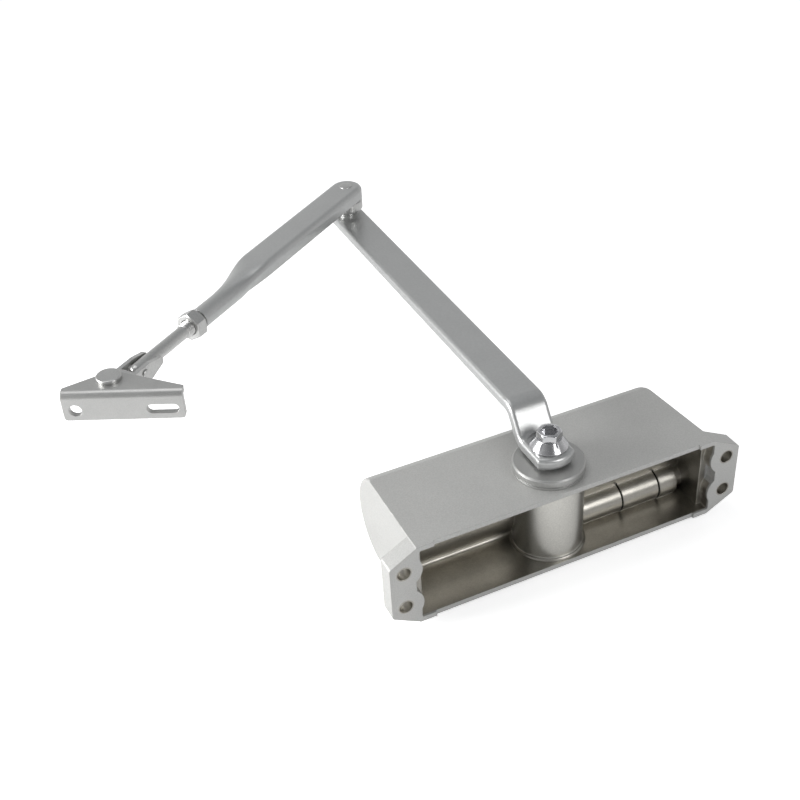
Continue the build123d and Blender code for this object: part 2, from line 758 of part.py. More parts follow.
# End plug at the right end of the bore, with its ring
plug_outer_x = right_end_far - plug_inset
plug_groove_x = plug_seat_x + plug_groove_inset
with BuildPart() as end_plug:
    with BuildSketch(Plane.YZ.offset(plug_seat_x + plug_clearance)) as plug_body_section:
        with Locations((bore_y, 0)):
            Circle(plug_thread_r - plug_clearance)
    extrude(amount=plug_outer_x - plug_seat_x)
    chamfer(end_plug.edges().filter_by(GeomType.CIRCLE), plug_edge)
    with BuildSketch(Plane.YZ.offset(plug_groove_x)) as plug_groove:
        with Locations((bore_y, 0)):
            Circle(plug_thread_r + 1)
            Circle(plug_thread_r - plug_clearance - plug_groove_depth, mode=Mode.SUBTRACT)
    extrude(amount=plug_groove_width, mode=Mode.SUBTRACT)
    with BuildSketch(Plane.YZ.offset(plug_outer_x + plug_clearance)) as plug_socket:
        with Locations((bore_y, 0)):
            RegularPolygon(plug_socket_r, 6, major_radius=False)
    extrude(amount=-plug_socket_depth - plug_clearance, mode=Mode.SUBTRACT)
save(end_plug.part, "end_plug")

with BuildPart() as end_plug_o_ring:
    with BuildSketch(Plane.XY) as plug_ring_section:
        with Locations((plug_groove_x + plug_groove_width / 2,
                        bore_y + plug_thread_r - plug_clearance - plug_groove_depth / 2)):
            Circle(plug_ring_r)
    revolve(axis=Axis((0, bore_y, 0), (1, 0, 0)))
save(end_plug_o_ring.part, "end_plug_o_ring")

# Valve screws and their rings, one in each gallery
ring_groove_x = valve_head_x + valve_groove_inset
ring_groove_end_x = ring_groove_x + valve_groove_width
ring_groove_y = gallery_y + valve_head_r - 2 * valve_ring_r
for name, side in (("closing_valve", -1), ("latching_valve", 1)):
    axis_line = Axis((0, gallery_y, side * gallery_z), (1, 0, 0))
    head_end_x = valve_head_x + valve_head_length
    with BuildPart() as valve_screw:
        with BuildSketch(Plane.XY.offset(side * gallery_z)) as screw_profile:
            with BuildLine() as screw_outline:
                Polyline((valve_tip_x + valve_play, gallery_y),
                         (valve_tip_x + valve_play, gallery_y + valve_point_r),
                         (valve_tip_x + valve_tip_length, gallery_y + valve_stem_r),
                         (valve_head_x + valve_play, gallery_y + valve_stem_r),
                         (valve_head_x + valve_play, gallery_y + valve_head_r),
                         (ring_groove_x, gallery_y + valve_head_r), (ring_groove_x, ring_groove_y),
                         (ring_groove_end_x, ring_groove_y),
                         (ring_groove_end_x, gallery_y + valve_head_r),
                         (head_end_x - valve_edge, gallery_y + valve_head_r),
                         (head_end_x, gallery_y + valve_head_r - valve_edge), (head_end_x, gallery_y),
                         close=True)
            make_face()
        revolve(axis=axis_line)
        with BuildSketch(Plane.YZ.offset(head_end_x)) as driver_slot:
            with Locations((gallery_y, side * gallery_z)):
                Rectangle(valve_slot_width, 3 * valve_head_r)
        extrude(amount=-valve_slot_depth, mode=Mode.SUBTRACT)
    save(valve_screw.part, f"{name}_screw")
    with BuildPart() as valve_o_ring:
        with BuildSketch(Plane.XY.offset(side * gallery_z)) as ring_section:
            with Locations((ring_groove_x + valve_groove_width / 2, ring_groove_y + valve_ring_r)):
                Circle(valve_ring_r - ring_clearance)
        revolve(axis=axis_line)
    save(valve_o_ring.part, f"{name}_o_ring")

# Main arm: flat bar cranked up over the body
arm_bend_outer_r = arm_bend_inner_r + arm_thickness
bend_inner_tangent = arm_bend_inner_r * tan(arm_bend_angle / 2)
bend_outer_tangent = arm_bend_outer_r * tan(arm_bend_angle / 2)
slope_run = arm_rise / tan(arm_bend_angle)
lower_corner = arm_bend_start + bend_outer_tangent
upper_corner = arm_bend_start + bend_inner_tangent
arm_tip = arm_length + arm_width / 2
with BuildPart() as main_arm:
    with BuildSketch(arm_side()) as arm_profile:
        with BuildLine() as arm_profile_outline:
            FilletPolyline((-arm_end_reach, arm_lower_z), (lower_corner, arm_lower_z),
                           (lower_corner + slope_run, bar_lower_z), (arm_tip, bar_lower_z),
                           radius=[arm_bend_outer_r, arm_bend_inner_r])
            Line((arm_tip, bar_lower_z), (arm_tip, bar_top_z))
            FilletPolyline((arm_tip, bar_top_z), (upper_corner + slope_run, bar_top_z),
                           (upper_corner, arm_top_z), (-arm_end_reach, arm_top_z),
                           radius=[arm_bend_outer_r, arm_bend_inner_r])
            Line((-arm_end_reach, arm_top_z), (-arm_end_reach, arm_lower_z))
        make_face()
    extrude(amount=arm_width / 2, both=True)
    with BuildSketch(arm_level(arm_lower_z - 1)) as arm_plan:
        with BuildLine() as arm_plan_outline:
            half = arm_width / 2
            Line((-arm_end_corner, half), (arm_length, half))
            ThreePointArc((arm_length, half), (arm_tip, 0), (arm_length, -half))
            Line((arm_length, -half), (-arm_end_corner, -half))
            ThreePointArc((-arm_end_corner, -half), (-arm_end_reach, 0), (-arm_end_corner, half))
        make_face()
    extrude(amount=bar_top_z - arm_lower_z + 2, mode=Mode.INTERSECT)
    upright = main_arm.edges().filter_by(Axis.Z)
    rims = [e for e in main_arm.edges() if e not in upright]
    across = [e for e in rims if abs((e % 0.5).dot(arm_dir)) < 0.2 and e.length > arm_width - 0.5
              and e.geom_type == GeomType.LINE]
    fillet([e for e in rims if e not in across], arm_edge_r)
    with BuildSketch(spindle_level(arm_top_z)) as spot_face:
        Circle(spot_face_r)
    extrude(amount=arm_rise + 5, mode=Mode.SUBTRACT)
    with BuildSketch(arm_level(arm_lower_z - 1)) as square_hole:
        Rectangle(drive_square + 2 * drive_square_fit, drive_square + 2 * drive_square_fit)
        fillet(square_hole.vertices(), drive_hole_corner)
    extrude(amount=arm_thickness + 2, mode=Mode.SUBTRACT)
    with BuildSketch(rod_level(bar_lower_z - 1)) as elbow_hole:
        Circle(elbow_pin_r + pin_fit)
    extrude(amount=arm_thickness + 2, mode=Mode.SUBTRACT)
save(main_arm.part, "main_arm")

# Arm screw: cone under a hex head with a socket
cone_top_z = arm_top_z + screw_flange_edge + screw_cone_height
head_top_z = cone_top_z + screw_head_height
with BuildPart() as arm_screw:
    with BuildSketch(Plane(origin=(spindle_x, spindle_y, arm_top_z), x_dir=(1, 0, 0),
                           z_dir=(0, -1, 0))) as screw_cone:
        with BuildLine() as cone_outline:
            Polyline((0, -screw_shank_length), (screw_shank_r, -screw_shank_length),
                     (screw_shank_r, screw_seat_gap), (screw_flange_r, screw_seat_gap),
                     (screw_flange_r, screw_flange_edge))
            RadiusArc((screw_flange_r, screw_flange_edge),
                      (screw_cone_top_r, screw_flange_edge + screw_cone_height), -screw_cone_bulge_r)
            Polyline((screw_cone_top_r, screw_flange_edge + screw_cone_height),
                     (0, screw_flange_edge + screw_cone_height), (0, -screw_shank_length))
        make_face()
    revolve(axis=Axis((spindle_x, spindle_y, 0), (0, 0, 1)))
    with BuildSketch(spindle_level(cone_top_z)) as hex_section:
        RegularPolygon(screw_head_flats / 2, 6, major_radius=False)
    extrude(amount=screw_head_height)
    with BuildSketch(spindle_level(head_top_z)) as hex_socket:
        RegularPolygon(screw_socket_flats / 2, 6, major_radius=False)
    extrude(amount=-screw_socket_depth, mode=Mode.SUBTRACT)
save(arm_screw.part, "arm_screw")

# Elbow: bush that lifts the forearm, and the rivet through all
neck_top_z = forearm_web_z - turning_gap
with BuildPart() as elbow_bush:
    with BuildSketch(rod_level(bar_top_z)) as bush_section:
        Circle(bush_r)
    extrude(amount=bush_height)
    fillet(elbow_bush.edges().group_by(Axis.Z)[-1], bush_edge_r)
    with BuildSketch(rod_level(bar_top_z)) as neck_section:
        Circle(bush_neck_r)
    extrude(amount=neck_top_z - bar_top_z)
    with BuildSketch(rod_level(bar_top_z)) as bush_bore:
        Circle(elbow_pin_r + pin_fit)
    extrude(amount=neck_top_z - bar_top_z, mode=Mode.SUBTRACT)
save(elbow_bush.part, "elbow_bush")

rivet_head_z = forearm_top_z + turning_gap
with BuildPart() as elbow_rivet:
    with BuildSketch(rod_level(bar_lower_z - elbow_foot_height)) as rivet_foot:
        Circle(elbow_foot_r)
    extrude(amount=elbow_foot_height)
    fillet(elbow_rivet.edges().group_by(Axis.Z)[0], elbow_foot_edge_r)
    with BuildSketch(rod_level(bar_lower_z)) as rivet_shank:
        Circle(elbow_pin_r)
    extrude(amount=rivet_head_z - bar_lower_z)
    with BuildSketch(rod_level(rivet_head_z)) as rivet_head:
        Circle(elbow_head_r)
    extrude(amount=elbow_head_height)
    fillet(elbow_rivet.edges().group_by(Axis.Z)[-1], elbow_head_edge_r)
save(elbow_rivet.part, "elbow_rivet")

# Forearm: pressed channel that closes into a tapped tube
forearm_half = forearm_width / 2
inner_half = forearm_half - forearm_wall
with BuildPart() as forearm:
    with BuildSketch(rod_level(forearm_low_z)) as channel_plan:
        with BuildLine() as channel_outline:
            Line((0, forearm_half), (channel_length, forearm_half))
            Line((channel_length, forearm_half), (channel_length, -forearm_half))
            Line((channel_length, -forearm_half), (0, -forearm_half))
            ThreePointArc((0, -forearm_half), (-forearm_half, 0), (0, forearm_half))
        make_face()
    extrude(amount=forearm_height)
    end_edge = forearm.edges().group_by(Axis.Z)[-1].sort_by(rod_level(0).location.x_axis)[-1]
    fillet([e for e in forearm.edges().group_by(Axis.Z)[-1] if e is not end_edge
            and not (e.geom_type == GeomType.LINE and e.length < forearm_width + 0.1)], forearm_edge_r)
    with BuildSketch(rod_section(channel_length)) as taper_root:
        with Locations((0, (forearm_top_z + forearm_low_z) / 2 - rod_z)):
            Rectangle(forearm_width, forearm_height)
        fillet(taper_root.vertices().group_by(Axis.Y)[-1], forearm_edge_r)
        fillet(taper_root.vertices().group_by(Axis.Y)[0], channel_rim_r)
    with BuildSketch(rod_section(taper_end)) as taper_tip:
        Rectangle(2 * tube_r, 2 * tube_r)
        fillet(taper_tip.vertices(), tube_r - round_remainder)
    loft()
    with BuildSketch(rod_section(taper_end)) as tube_section:
        Circle(tube_r)
    extrude(amount=taper_end - tube_end)
    with BuildSketch(rod_level(forearm_low_z)) as channel_hollow:
        with BuildLine() as hollow_outline:
            Line((0, inner_half), (channel_length, inner_half))
            Line((channel_length, inner_half), (channel_length, -inner_half))
            Line((channel_length, -inner_half), (0, -inner_half))
            ThreePointArc((0, -inner_half), (-inner_half, 0), (0, inner_half))
        make_face()
    extrude(amount=forearm_height - forearm_wall, mode=Mode.SUBTRACT)
    hollow_height = forearm_height - forearm_wall + closing_depth
    with BuildSketch(rod_section(channel_length - hollow_overlap)) as hollow_root:
        with Locations((0, forearm_web_z - rod_z - hollow_height / 2)):
            Rectangle(2 * inner_half, hollow_height)
        fillet(hollow_root.vertices(), channel_rim_r)
    with BuildSketch(rod_section(taper_end - closing_length)) as hollow_tip:
        Rectangle(2 * thread_r, 2 * thread_r)
        fillet(hollow_tip.vertices(), thread_r - hollow_remainder)
    loft(mode=Mode.SUBTRACT)
    with BuildSketch(rod_section(channel_length)) as tapped_bore:
        Circle(thread_r + thread_fit)
    extrude(amount=channel_length - tube_end, mode=Mode.SUBTRACT)
    with BuildSketch(rod_level(forearm_web_z - 1)) as web_hole:
        Circle(elbow_pin_r + pin_fit)
    extrude(amount=forearm_wall + 2, mode=Mode.SUBTRACT)
save(forearm.part, "forearm")

# Adjusting rod: threaded inner end, plain bar, rounded eye between the fork's cheeks
with BuildPart() as adjusting_rod:
    with BuildSketch(rod_section(thread_start)) as thread_section:
        Circle(thread_r)
    extrude(amount=thread_start - thread_end)
    chamfer(adjusting_rod.edges().filter_by(GeomType.CIRCLE), rod_chamfer)
    with BuildSketch(rod_section(thread_end)) as rod_section_face:
        Circle(rod_r)
    extrude(amount=thread_end - pin_station)
    with BuildSketch(rod_side()) as eye_profile:
        with BuildLine() as eye_outline:
            CenterArc((pin_station, rod_z), rod_r, 0, 90)
            Line((pin_station, rod_z + rod_r), (pin_station, rod_z))
            Line((pin_station, rod_z), (pin_station + rod_r, rod_z))
        make_face()
    revolve(axis=Axis((elbow_x, elbow_y, rod_z), tuple(rod_dir)))
    with BuildSketch(rod_side()) as eye_hole:
        with Locations((pin_station, rod_z)):
            Circle(clevis_pin_r + pin_fit)
    extrude(amount=2 * rod_r, both=True, mode=Mode.SUBTRACT)
save(adjusting_rod.part, "adjusting_rod")

# Lock nut, chamfered on both faces
with BuildPart() as lock_nut:
    with BuildSketch(rod_section(nut_start)) as nut_section:
        RegularPolygon(nut_flats / 2, 6, major_radius=False)
        Circle(thread_r + thread_fit, mode=Mode.SUBTRACT)
    extrude(amount=-nut_thickness)
    with BuildSketch(rod_section(nut_start)) as nut_round:
        Circle(nut_flats / 2 * nut_corner_share)
    extrude(amount=-nut_thickness, mode=Mode.INTERSECT)
save(lock_nut.part, "lock_nut")

# Clevis fork: two cheeks round the rod end, joined by a plate under the bracket
with BuildPart() as clevis_fork:
    with BuildSketch(rod_side()) as cheek_profile:
        with BuildLine() as cheek_outline:
            Polyline((cheek_end, fork_top_z), (pin_station - cheek_shoulder, fork_top_z),
                     (cheek_start, rod_z + cheek_nose_half_height))
            ThreePointArc((cheek_start, rod_z + cheek_nose_half_height),
                          (cheek_start - cheek_nose_length, rod_z),
                          (cheek_start, rod_z - cheek_nose_half_height))
            Polyline((cheek_start, rod_z - cheek_nose_half_height),
                     (pin_station - cheek_shoulder, cheek_low_z), (cheek_end - cheek_shoulder, cheek_low_z),
                     (cheek_end, fork_plate_low_z), (cheek_end, fork_top_z))
        make_face()
    extrude(amount=fork_outer, both=True)
    with BuildSketch(rod_level(fork_plate_low_z)) as plate_section:
        with Locations((pivot_station, 0)):
            Circle(fork_plate_r)
        with Locations(((fork_web_start + pivot_station) / 2, 0)):
            Rectangle(pivot_station - fork_web_start, 2 * fork_outer)
    extrude(amount=fork_plate_thickness)
    with BuildSketch(rod_level(cheek_low_z - cut_past)) as fork_slot:
        with Locations(((cheek_start - cheek_shoulder + fork_web_start) / 2, 0)):
            Rectangle(fork_web_start - cheek_start + cheek_shoulder, 2 * fork_inner)
    extrude(amount=fork_top_z - cheek_low_z + 2 * cut_past, mode=Mode.SUBTRACT)
    with BuildSketch(rod_level(cheek_low_z - cut_past)) as fork_under:
        with Locations(((fork_web_start + cheek_end) / 2 + cut_past, 0)):
            Rectangle(cheek_end - fork_web_start + 4 * cut_past, 2 * fork_inner)
    extrude(amount=fork_plate_low_z - cheek_low_z + cut_past, mode=Mode.SUBTRACT)
    with BuildSketch(rod_side()) as cheek_holes:
        with Locations((pin_station, rod_z)):
            Circle(clevis_pin_r + thread_clearance)
    extrude(amount=2 * fork_outer, both=True, mode=Mode.SUBTRACT)
    with BuildSketch(rod_level(fork_plate_low_z - 1)) as pivot_hole:
        with Locations((pivot_station, 0)):
            Circle(pivot_shank_r + pin_fit)
    extrude(amount=fork_plate_thickness + 2, mode=Mode.SUBTRACT)
save(clevis_fork.part, "clevis_fork")

with BuildPart() as clevis_pin:
    with BuildSketch(rod_side()) as clevis_pin_section:
        with Locations((pin_station, rod_z)):
            Circle(clevis_pin_r)
    extrude(amount=fork_outer + clevis_pin_proud, both=True)
    chamfer(clevis_pin.edges().filter_by(GeomType.CIRCLE), clevis_pin_edge)
save(clevis_pin.part, "clevis_pin")

# Foot bracket: angle with a pointed top flange
flange_mid_z = flange_top_z - bracket_hole_drop
with BuildPart() as foot_bracket:
    with BuildSketch(bracket_level(flange_low_z)) as top_flange:
        with BuildLine() as flange_outline:
            Polyline((-bracket_left, -bracket_front), (bracket_right, -bracket_front),
                     (bracket_right, bracket_side - bracket_front), (0, bracket_apex_r),
                     (-bracket_left, bracket_side - bracket_front), close=True)
        make_face()
        make_hull()
    extrude(amount=bracket_thickness)
    with BuildSketch(bracket_face()) as front_flange:
        with Locations(((bracket_right - bracket_left) / 2, flange_top_z - flange_height / 2)):
            Rectangle(bracket_left + bracket_right, flange_height)
        fillet(front_flange.vertices().group_by(Axis.Y)[0], flange_corner_r)
    extrude(amount=-bracket_thickness)
    bend_edge = [e for e in foot_bracket.edges() if abs(e.center().Z - flange_top_z) < 0.01
                 and e.length > bracket_left + bracket_right - 0.5]
    fillet(bend_edge, bracket_bend_r)
    with BuildSketch(bracket_face()) as front_holes:
        with Locations((bracket_hole_inset - bracket_left, flange_mid_z)):
            Circle(bracket_hole_r)
        with Locations((bracket_right - bracket_slot_inset, flange_mid_z)):
            SlotOverall(bracket_slot_length, 2 * bracket_slot_r)
    extrude(amount=-bracket_thickness - 1, mode=Mode.SUBTRACT)
    with BuildSketch(bracket_level(flange_low_z - 1)) as flange_hole:
        Circle(pivot_shank_r + thread_clearance)
    extrude(amount=bracket_thickness + 2, mode=Mode.SUBTRACT)
save(foot_bracket.part, "foot_bracket")

# Pivot rivet through the bracket and the fork's plate
pivot_foot_z = fork_plate_low_z - turning_gap - pivot_foot_height
with BuildPart() as pivot_rivet:
    with BuildSketch(bracket_level(flange_top_z)) as pivot_head:
        Circle(pivot_head_r)
    extrude(amount=pivot_head_height)
    fillet(pivot_rivet.edges().group_by(Axis.Z)[-1], pivot_head_edge_r)
    with BuildSketch(bracket_level(flange_top_z)) as pivot_shank:
        Circle(pivot_shank_r)
    extrude(amount=pivot_foot_z - flange_top_z)
    with BuildSketch(bracket_level(pivot_foot_z)) as pivot_foot:
        Circle(pivot_foot_r)
    extrude(amount=pivot_foot_height)
    fillet(pivot_rivet.edges().group_by(Axis.Z)[0], pivot_foot_edge_r)
save(pivot_rivet.part, "pivot_rivet")
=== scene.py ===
import json
import logging
import math
from dataclasses import dataclass, field
from enum import Enum

import bmesh
import bpy
import numpy as np
from mathutils import Matrix, Vector


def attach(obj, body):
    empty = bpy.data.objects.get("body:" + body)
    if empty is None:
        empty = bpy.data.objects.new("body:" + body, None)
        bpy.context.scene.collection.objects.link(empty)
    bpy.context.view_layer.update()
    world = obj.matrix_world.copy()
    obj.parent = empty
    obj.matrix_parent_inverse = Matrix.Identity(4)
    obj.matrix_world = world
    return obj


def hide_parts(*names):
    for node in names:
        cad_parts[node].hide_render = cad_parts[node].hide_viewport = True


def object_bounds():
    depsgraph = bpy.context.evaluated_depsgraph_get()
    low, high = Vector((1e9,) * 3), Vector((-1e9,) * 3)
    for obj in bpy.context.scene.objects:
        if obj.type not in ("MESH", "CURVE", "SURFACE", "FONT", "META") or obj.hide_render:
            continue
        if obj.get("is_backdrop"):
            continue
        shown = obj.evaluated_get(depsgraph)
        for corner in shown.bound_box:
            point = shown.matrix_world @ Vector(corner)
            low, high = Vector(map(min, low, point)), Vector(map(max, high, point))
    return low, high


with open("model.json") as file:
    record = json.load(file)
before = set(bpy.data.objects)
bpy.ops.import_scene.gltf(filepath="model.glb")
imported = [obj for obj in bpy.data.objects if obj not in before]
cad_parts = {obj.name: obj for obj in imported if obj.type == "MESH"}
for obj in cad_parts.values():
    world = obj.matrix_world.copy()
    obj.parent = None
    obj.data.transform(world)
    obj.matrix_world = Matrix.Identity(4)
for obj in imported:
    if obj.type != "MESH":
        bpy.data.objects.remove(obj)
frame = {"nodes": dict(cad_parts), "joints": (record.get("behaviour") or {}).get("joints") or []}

LOG = logging.getLogger("door_closer")
MM = 0.001
WHITE = (1.0, 1.0, 1.0)
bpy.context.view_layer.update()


class Grain(Enum):
    """How a metal surface breaks up the light."""

    CAST = "cast"
    PAINTED = "painted"
    ROLLED = "rolled"
    PLATED = "plated"
    POLISHED = "polished"


@dataclass(frozen=True)
class GrainSize:
    """Scale and depth of the fine relief that goes with a grain.

    Args:
        per_metre: how many grains fit in a metre.
        depth: height of the relief, in metres.
        strength: share of the relief that shows.
    """

    per_metre: float
    depth: float
    strength: float


GRAIN_SIZES: dict[Grain, GrainSize] = {
    Grain.CAST: GrainSize(1500.0, 0.00007, 0.65),
    Grain.PAINTED: GrainSize(2300.0, 0.000035, 0.40),
    Grain.ROLLED: GrainSize(900.0, 0.00002, 0.22),
    Grain.PLATED: GrainSize(1200.0, 0.000015, 0.20),
    Grain.POLISHED: GrainSize(500.0, 0.000008, 0.12),
}


class Shader:
    """Small helper that adds and joins the nodes of one material, or of the world."""

    def __init__(self, block: bpy.types.Material | bpy.types.World) -> None:
        """Empty the block's node tree and give it an output and coordinates."""
        self.block = block
        block.use_nodes = True
        self.tree = block.node_tree
        self.tree.nodes.clear()
        kind = "World" if isinstance(block, bpy.types.World) else "Material"
        self.output = self.add("ShaderNodeOutput" + kind)
        self.coordinates = self.add("ShaderNodeTexCoord")

    def add(self, kind: str, **settings: object) -> bpy.types.Node:
        """Add one node and set its properties."""
        node = self.tree.nodes.new(kind)
        for key, value in settings.items():
            setattr(node, key, value)
        return node

    def join(self, source: bpy.types.NodeSocket, target: bpy.types.NodeSocket) -> None:
        """Link one socket to another."""
        self.tree.links.new(source, target)

    def feed(self, target: bpy.types.NodeSocket, value: object) -> None:
        """Set a socket to a number or a colour, or link another socket to it."""
        if isinstance(value, tuple):
            target.default_value = (*value, 1.0)
        elif isinstance(value, (int, float)):
            target.default_value = value
        else:
            self.join(value, target)

    def noise(self, scale: float, detail: float,
              stretch: tuple[float, float, float] = (1, 1, 1)) -> bpy.types.NodeSocket:
        """Noise on Object coordinates.

        Args:
            scale: features per metre.
            detail: octaves of the noise.
            stretch: factor along each axis, for a pattern drawn out one way.

        Returns:
            The factor output of the noise.
        """
        mapping = self.add("ShaderNodeMapping")
        mapping.inputs["Scale"].default_value = stretch
        self.join(self.coordinates.outputs["Object"], mapping.inputs["Vector"])
        node = self.add("ShaderNodeTexNoise")
        node.inputs["Scale"].default_value = scale
        node.inputs["Detail"].default_value = detail
        node.inputs["Roughness"].default_value = 0.6
        self.join(mapping.outputs["Vector"], node.inputs["Vector"])
        return node.outputs["Fac"]

    def ramp(self, factor: bpy.types.NodeSocket, low: float, high: float,
             low_value: tuple[float, ...], high_value: tuple[float, ...]) -> bpy.types.NodeSocket:
        """Colour ramp between two stops.

        Args:
            factor: what drives the ramp.
            low: position of the first stop.
            high: position of the second stop.
            low_value: colour at the first stop.
            high_value: colour at the second stop.

        Returns:
            The ramp's colour.
        """
        node = self.add("ShaderNodeValToRGB")
        first, second = node.color_ramp.elements[0], node.color_ramp.elements[1]
        first.position, second.position = low, high
        first.color = (*low_value, 1.0)
        second.color = (*high_value, 1.0)
        self.join(factor, node.inputs["Fac"])
        return node.outputs["Color"]

    def math(self, operation: str, *values: object) -> bpy.types.NodeSocket:
        """One math node on sockets or numbers, and its result."""
        node = self.add("ShaderNodeMath", operation=operation)
        for index, value in enumerate(values):
            self.feed(node.inputs[index], value)
        return node.outputs["Value"]

    def mix(self, factor: object, first: object, second: object,
            blend: str = "MIX") -> bpy.types.NodeSocket:
        """Blend of two colours, each a socket or a plain colour, by a factor."""
        node = self.add("ShaderNodeMix", data_type="RGBA", blend_type=blend)
        self.feed(node.inputs["Factor"], factor)
        self.feed(node.inputs[6], first)
        self.feed(node.inputs[7], second)
        return node.outputs[2]

    def light(self, kind: str, colour: object, strength: float) -> bpy.types.NodeSocket:
        """Shader that gives light: a background or an emission."""
        node = self.add(kind)
        self.feed(node.inputs["Color"], colour)
        node.inputs["Strength"].default_value = strength
        return node.outputs[0]

    def choose(self, factor: object, first: bpy.types.NodeSocket,
               second: bpy.types.NodeSocket) -> bpy.types.NodeSocket:
        """Blend of two shaders by a factor."""
        node = self.add("ShaderNodeMixShader")
        self.feed(node.inputs["Fac"], factor)
        self.join(first, node.inputs[1])
        self.join(second, node.inputs[2])
        return node.outputs["Shader"]

    def surface(self) -> bpy.types.Node:
        """Principled surface, joined to the material's output."""
        node = self.add("ShaderNodeBsdfPrincipled")
        self.join(node.outputs["BSDF"], self.output.inputs["Surface"])
        return node

    def clouds(self, per_metre: float, detail: float, base: tuple[float, float, float],
               low: float, high: float) -> bpy.types.NodeSocket:
        """Colour that wanders between a darker and a lighter share of a base."""
        return self.ramp(self.noise(per_metre, detail), 0.3, 0.7, shade(base, low), shade(base, high))

    def within(self, first: bpy.types.NodeSocket, second: bpy.types.NodeSocket,
               centre: tuple[float, float], radius: float) -> bpy.types.NodeSocket:
        """Mask of a circle.

        Args:
            first: distance along the circle's first axis.
            second: distance along its second axis.
            centre: middle of the circle on both axes.
            radius: radius of the circle.

        Returns:
            1 inside the circle, 0 elsewhere.
        """
        off_first = self.math("SUBTRACT", first, centre[0])
        off_second = self.math("SUBTRACT", second, centre[1])
        reach = self.math("ADD", self.math("MULTIPLY", off_first, off_first),
                          self.math("MULTIPLY", off_second, off_second))
        return self.math("LESS_THAN", reach, radius**2)


def shade(base: tuple[float, float, float], factor: float) -> tuple[float, float, float]:
    """A colour made lighter or darker by a factor."""
    return tuple(min(1.0, channel * factor) for channel in base)


@dataclass(frozen=True)
class MetalFinish:
    """Metal or metallic paint with a fine grain, cloudy tone and softened edges.

    Args:
        name: material name.
        base: mean colour.
        metallic: how metallic the surface is.
        roughness: mean roughness.
        grain: kind of fine relief.
        cloud: share by which the tone wanders over the piece.
        edge_radius: radius of the softened edges, in metres.
        speckle: share by which single grains are lighter or darker.
        stretch: draws the grain out along an axis, for rolled or brushed metal.
    """

    name: str
    base: tuple[float, float, float]
    metallic: float
    roughness: float
    grain: Grain
    cloud: float = 0.06
    edge_radius: float = 0.0004
    speckle: float = 0.05
    stretch: tuple[float, float, float] = (1.0, 1.0, 1.0)

    def make(self) -> bpy.types.Material:
        """Build the material."""
        shader = Shader(bpy.data.materials.new(self.name))
        surface = shader.surface()
        size = GRAIN_SIZES[self.grain]
        tone = shader.clouds(35.0, 3.0, self.base, 1 - self.cloud, 1 + self.cloud)
        shader.join(self.speckled(shader, tone, size), surface.inputs["Base Color"])
        surface.inputs["Metallic"].default_value = self.metallic
        wander = shader.math("MULTIPLY_ADD", shader.noise(120.0, 4.0), 0.16, self.roughness - 0.08)
        shader.join(wander, surface.inputs["Roughness"])
        self.relief(shader, surface, size)
        return shader.block

    def speckled(self, shader: Shader, tone: bpy.types.NodeSocket, size: GrainSize) -> bpy.types.NodeSocket:
        """The tone with single grains made lighter or darker."""
        grains = shader.ramp(shader.noise(size.per_metre, 2.0, self.stretch), 0.35, 0.65,
                             (1 - self.speckle,) * 3, (1 + self.speckle,) * 3)
        return shader.mix(1.0, tone, grains, "MULTIPLY")

    def relief(self, shader: Shader, surface: bpy.types.Node, size: GrainSize) -> None:
        """Add the grain's bump over softened edges.

        Args:
            shader: the material's helper.
            surface: the material's surface node.
            size: scale and depth of the grain.
        """
        bevel = shader.add("ShaderNodeBevel", samples=6)
        bevel.inputs["Radius"].default_value = self.edge_radius
        bump = shader.add("ShaderNodeBump")
        bump.inputs["Strength"].default_value = size.strength
        bump.inputs["Distance"].default_value = size.depth
        shader.join(shader.noise(size.per_metre, 3.0, self.stretch), bump.inputs["Height"])
        shader.join(bevel.outputs["Normal"], bump.inputs["Normal"])
        shader.join(bump.outputs["Normal"], surface.inputs["Normal"])


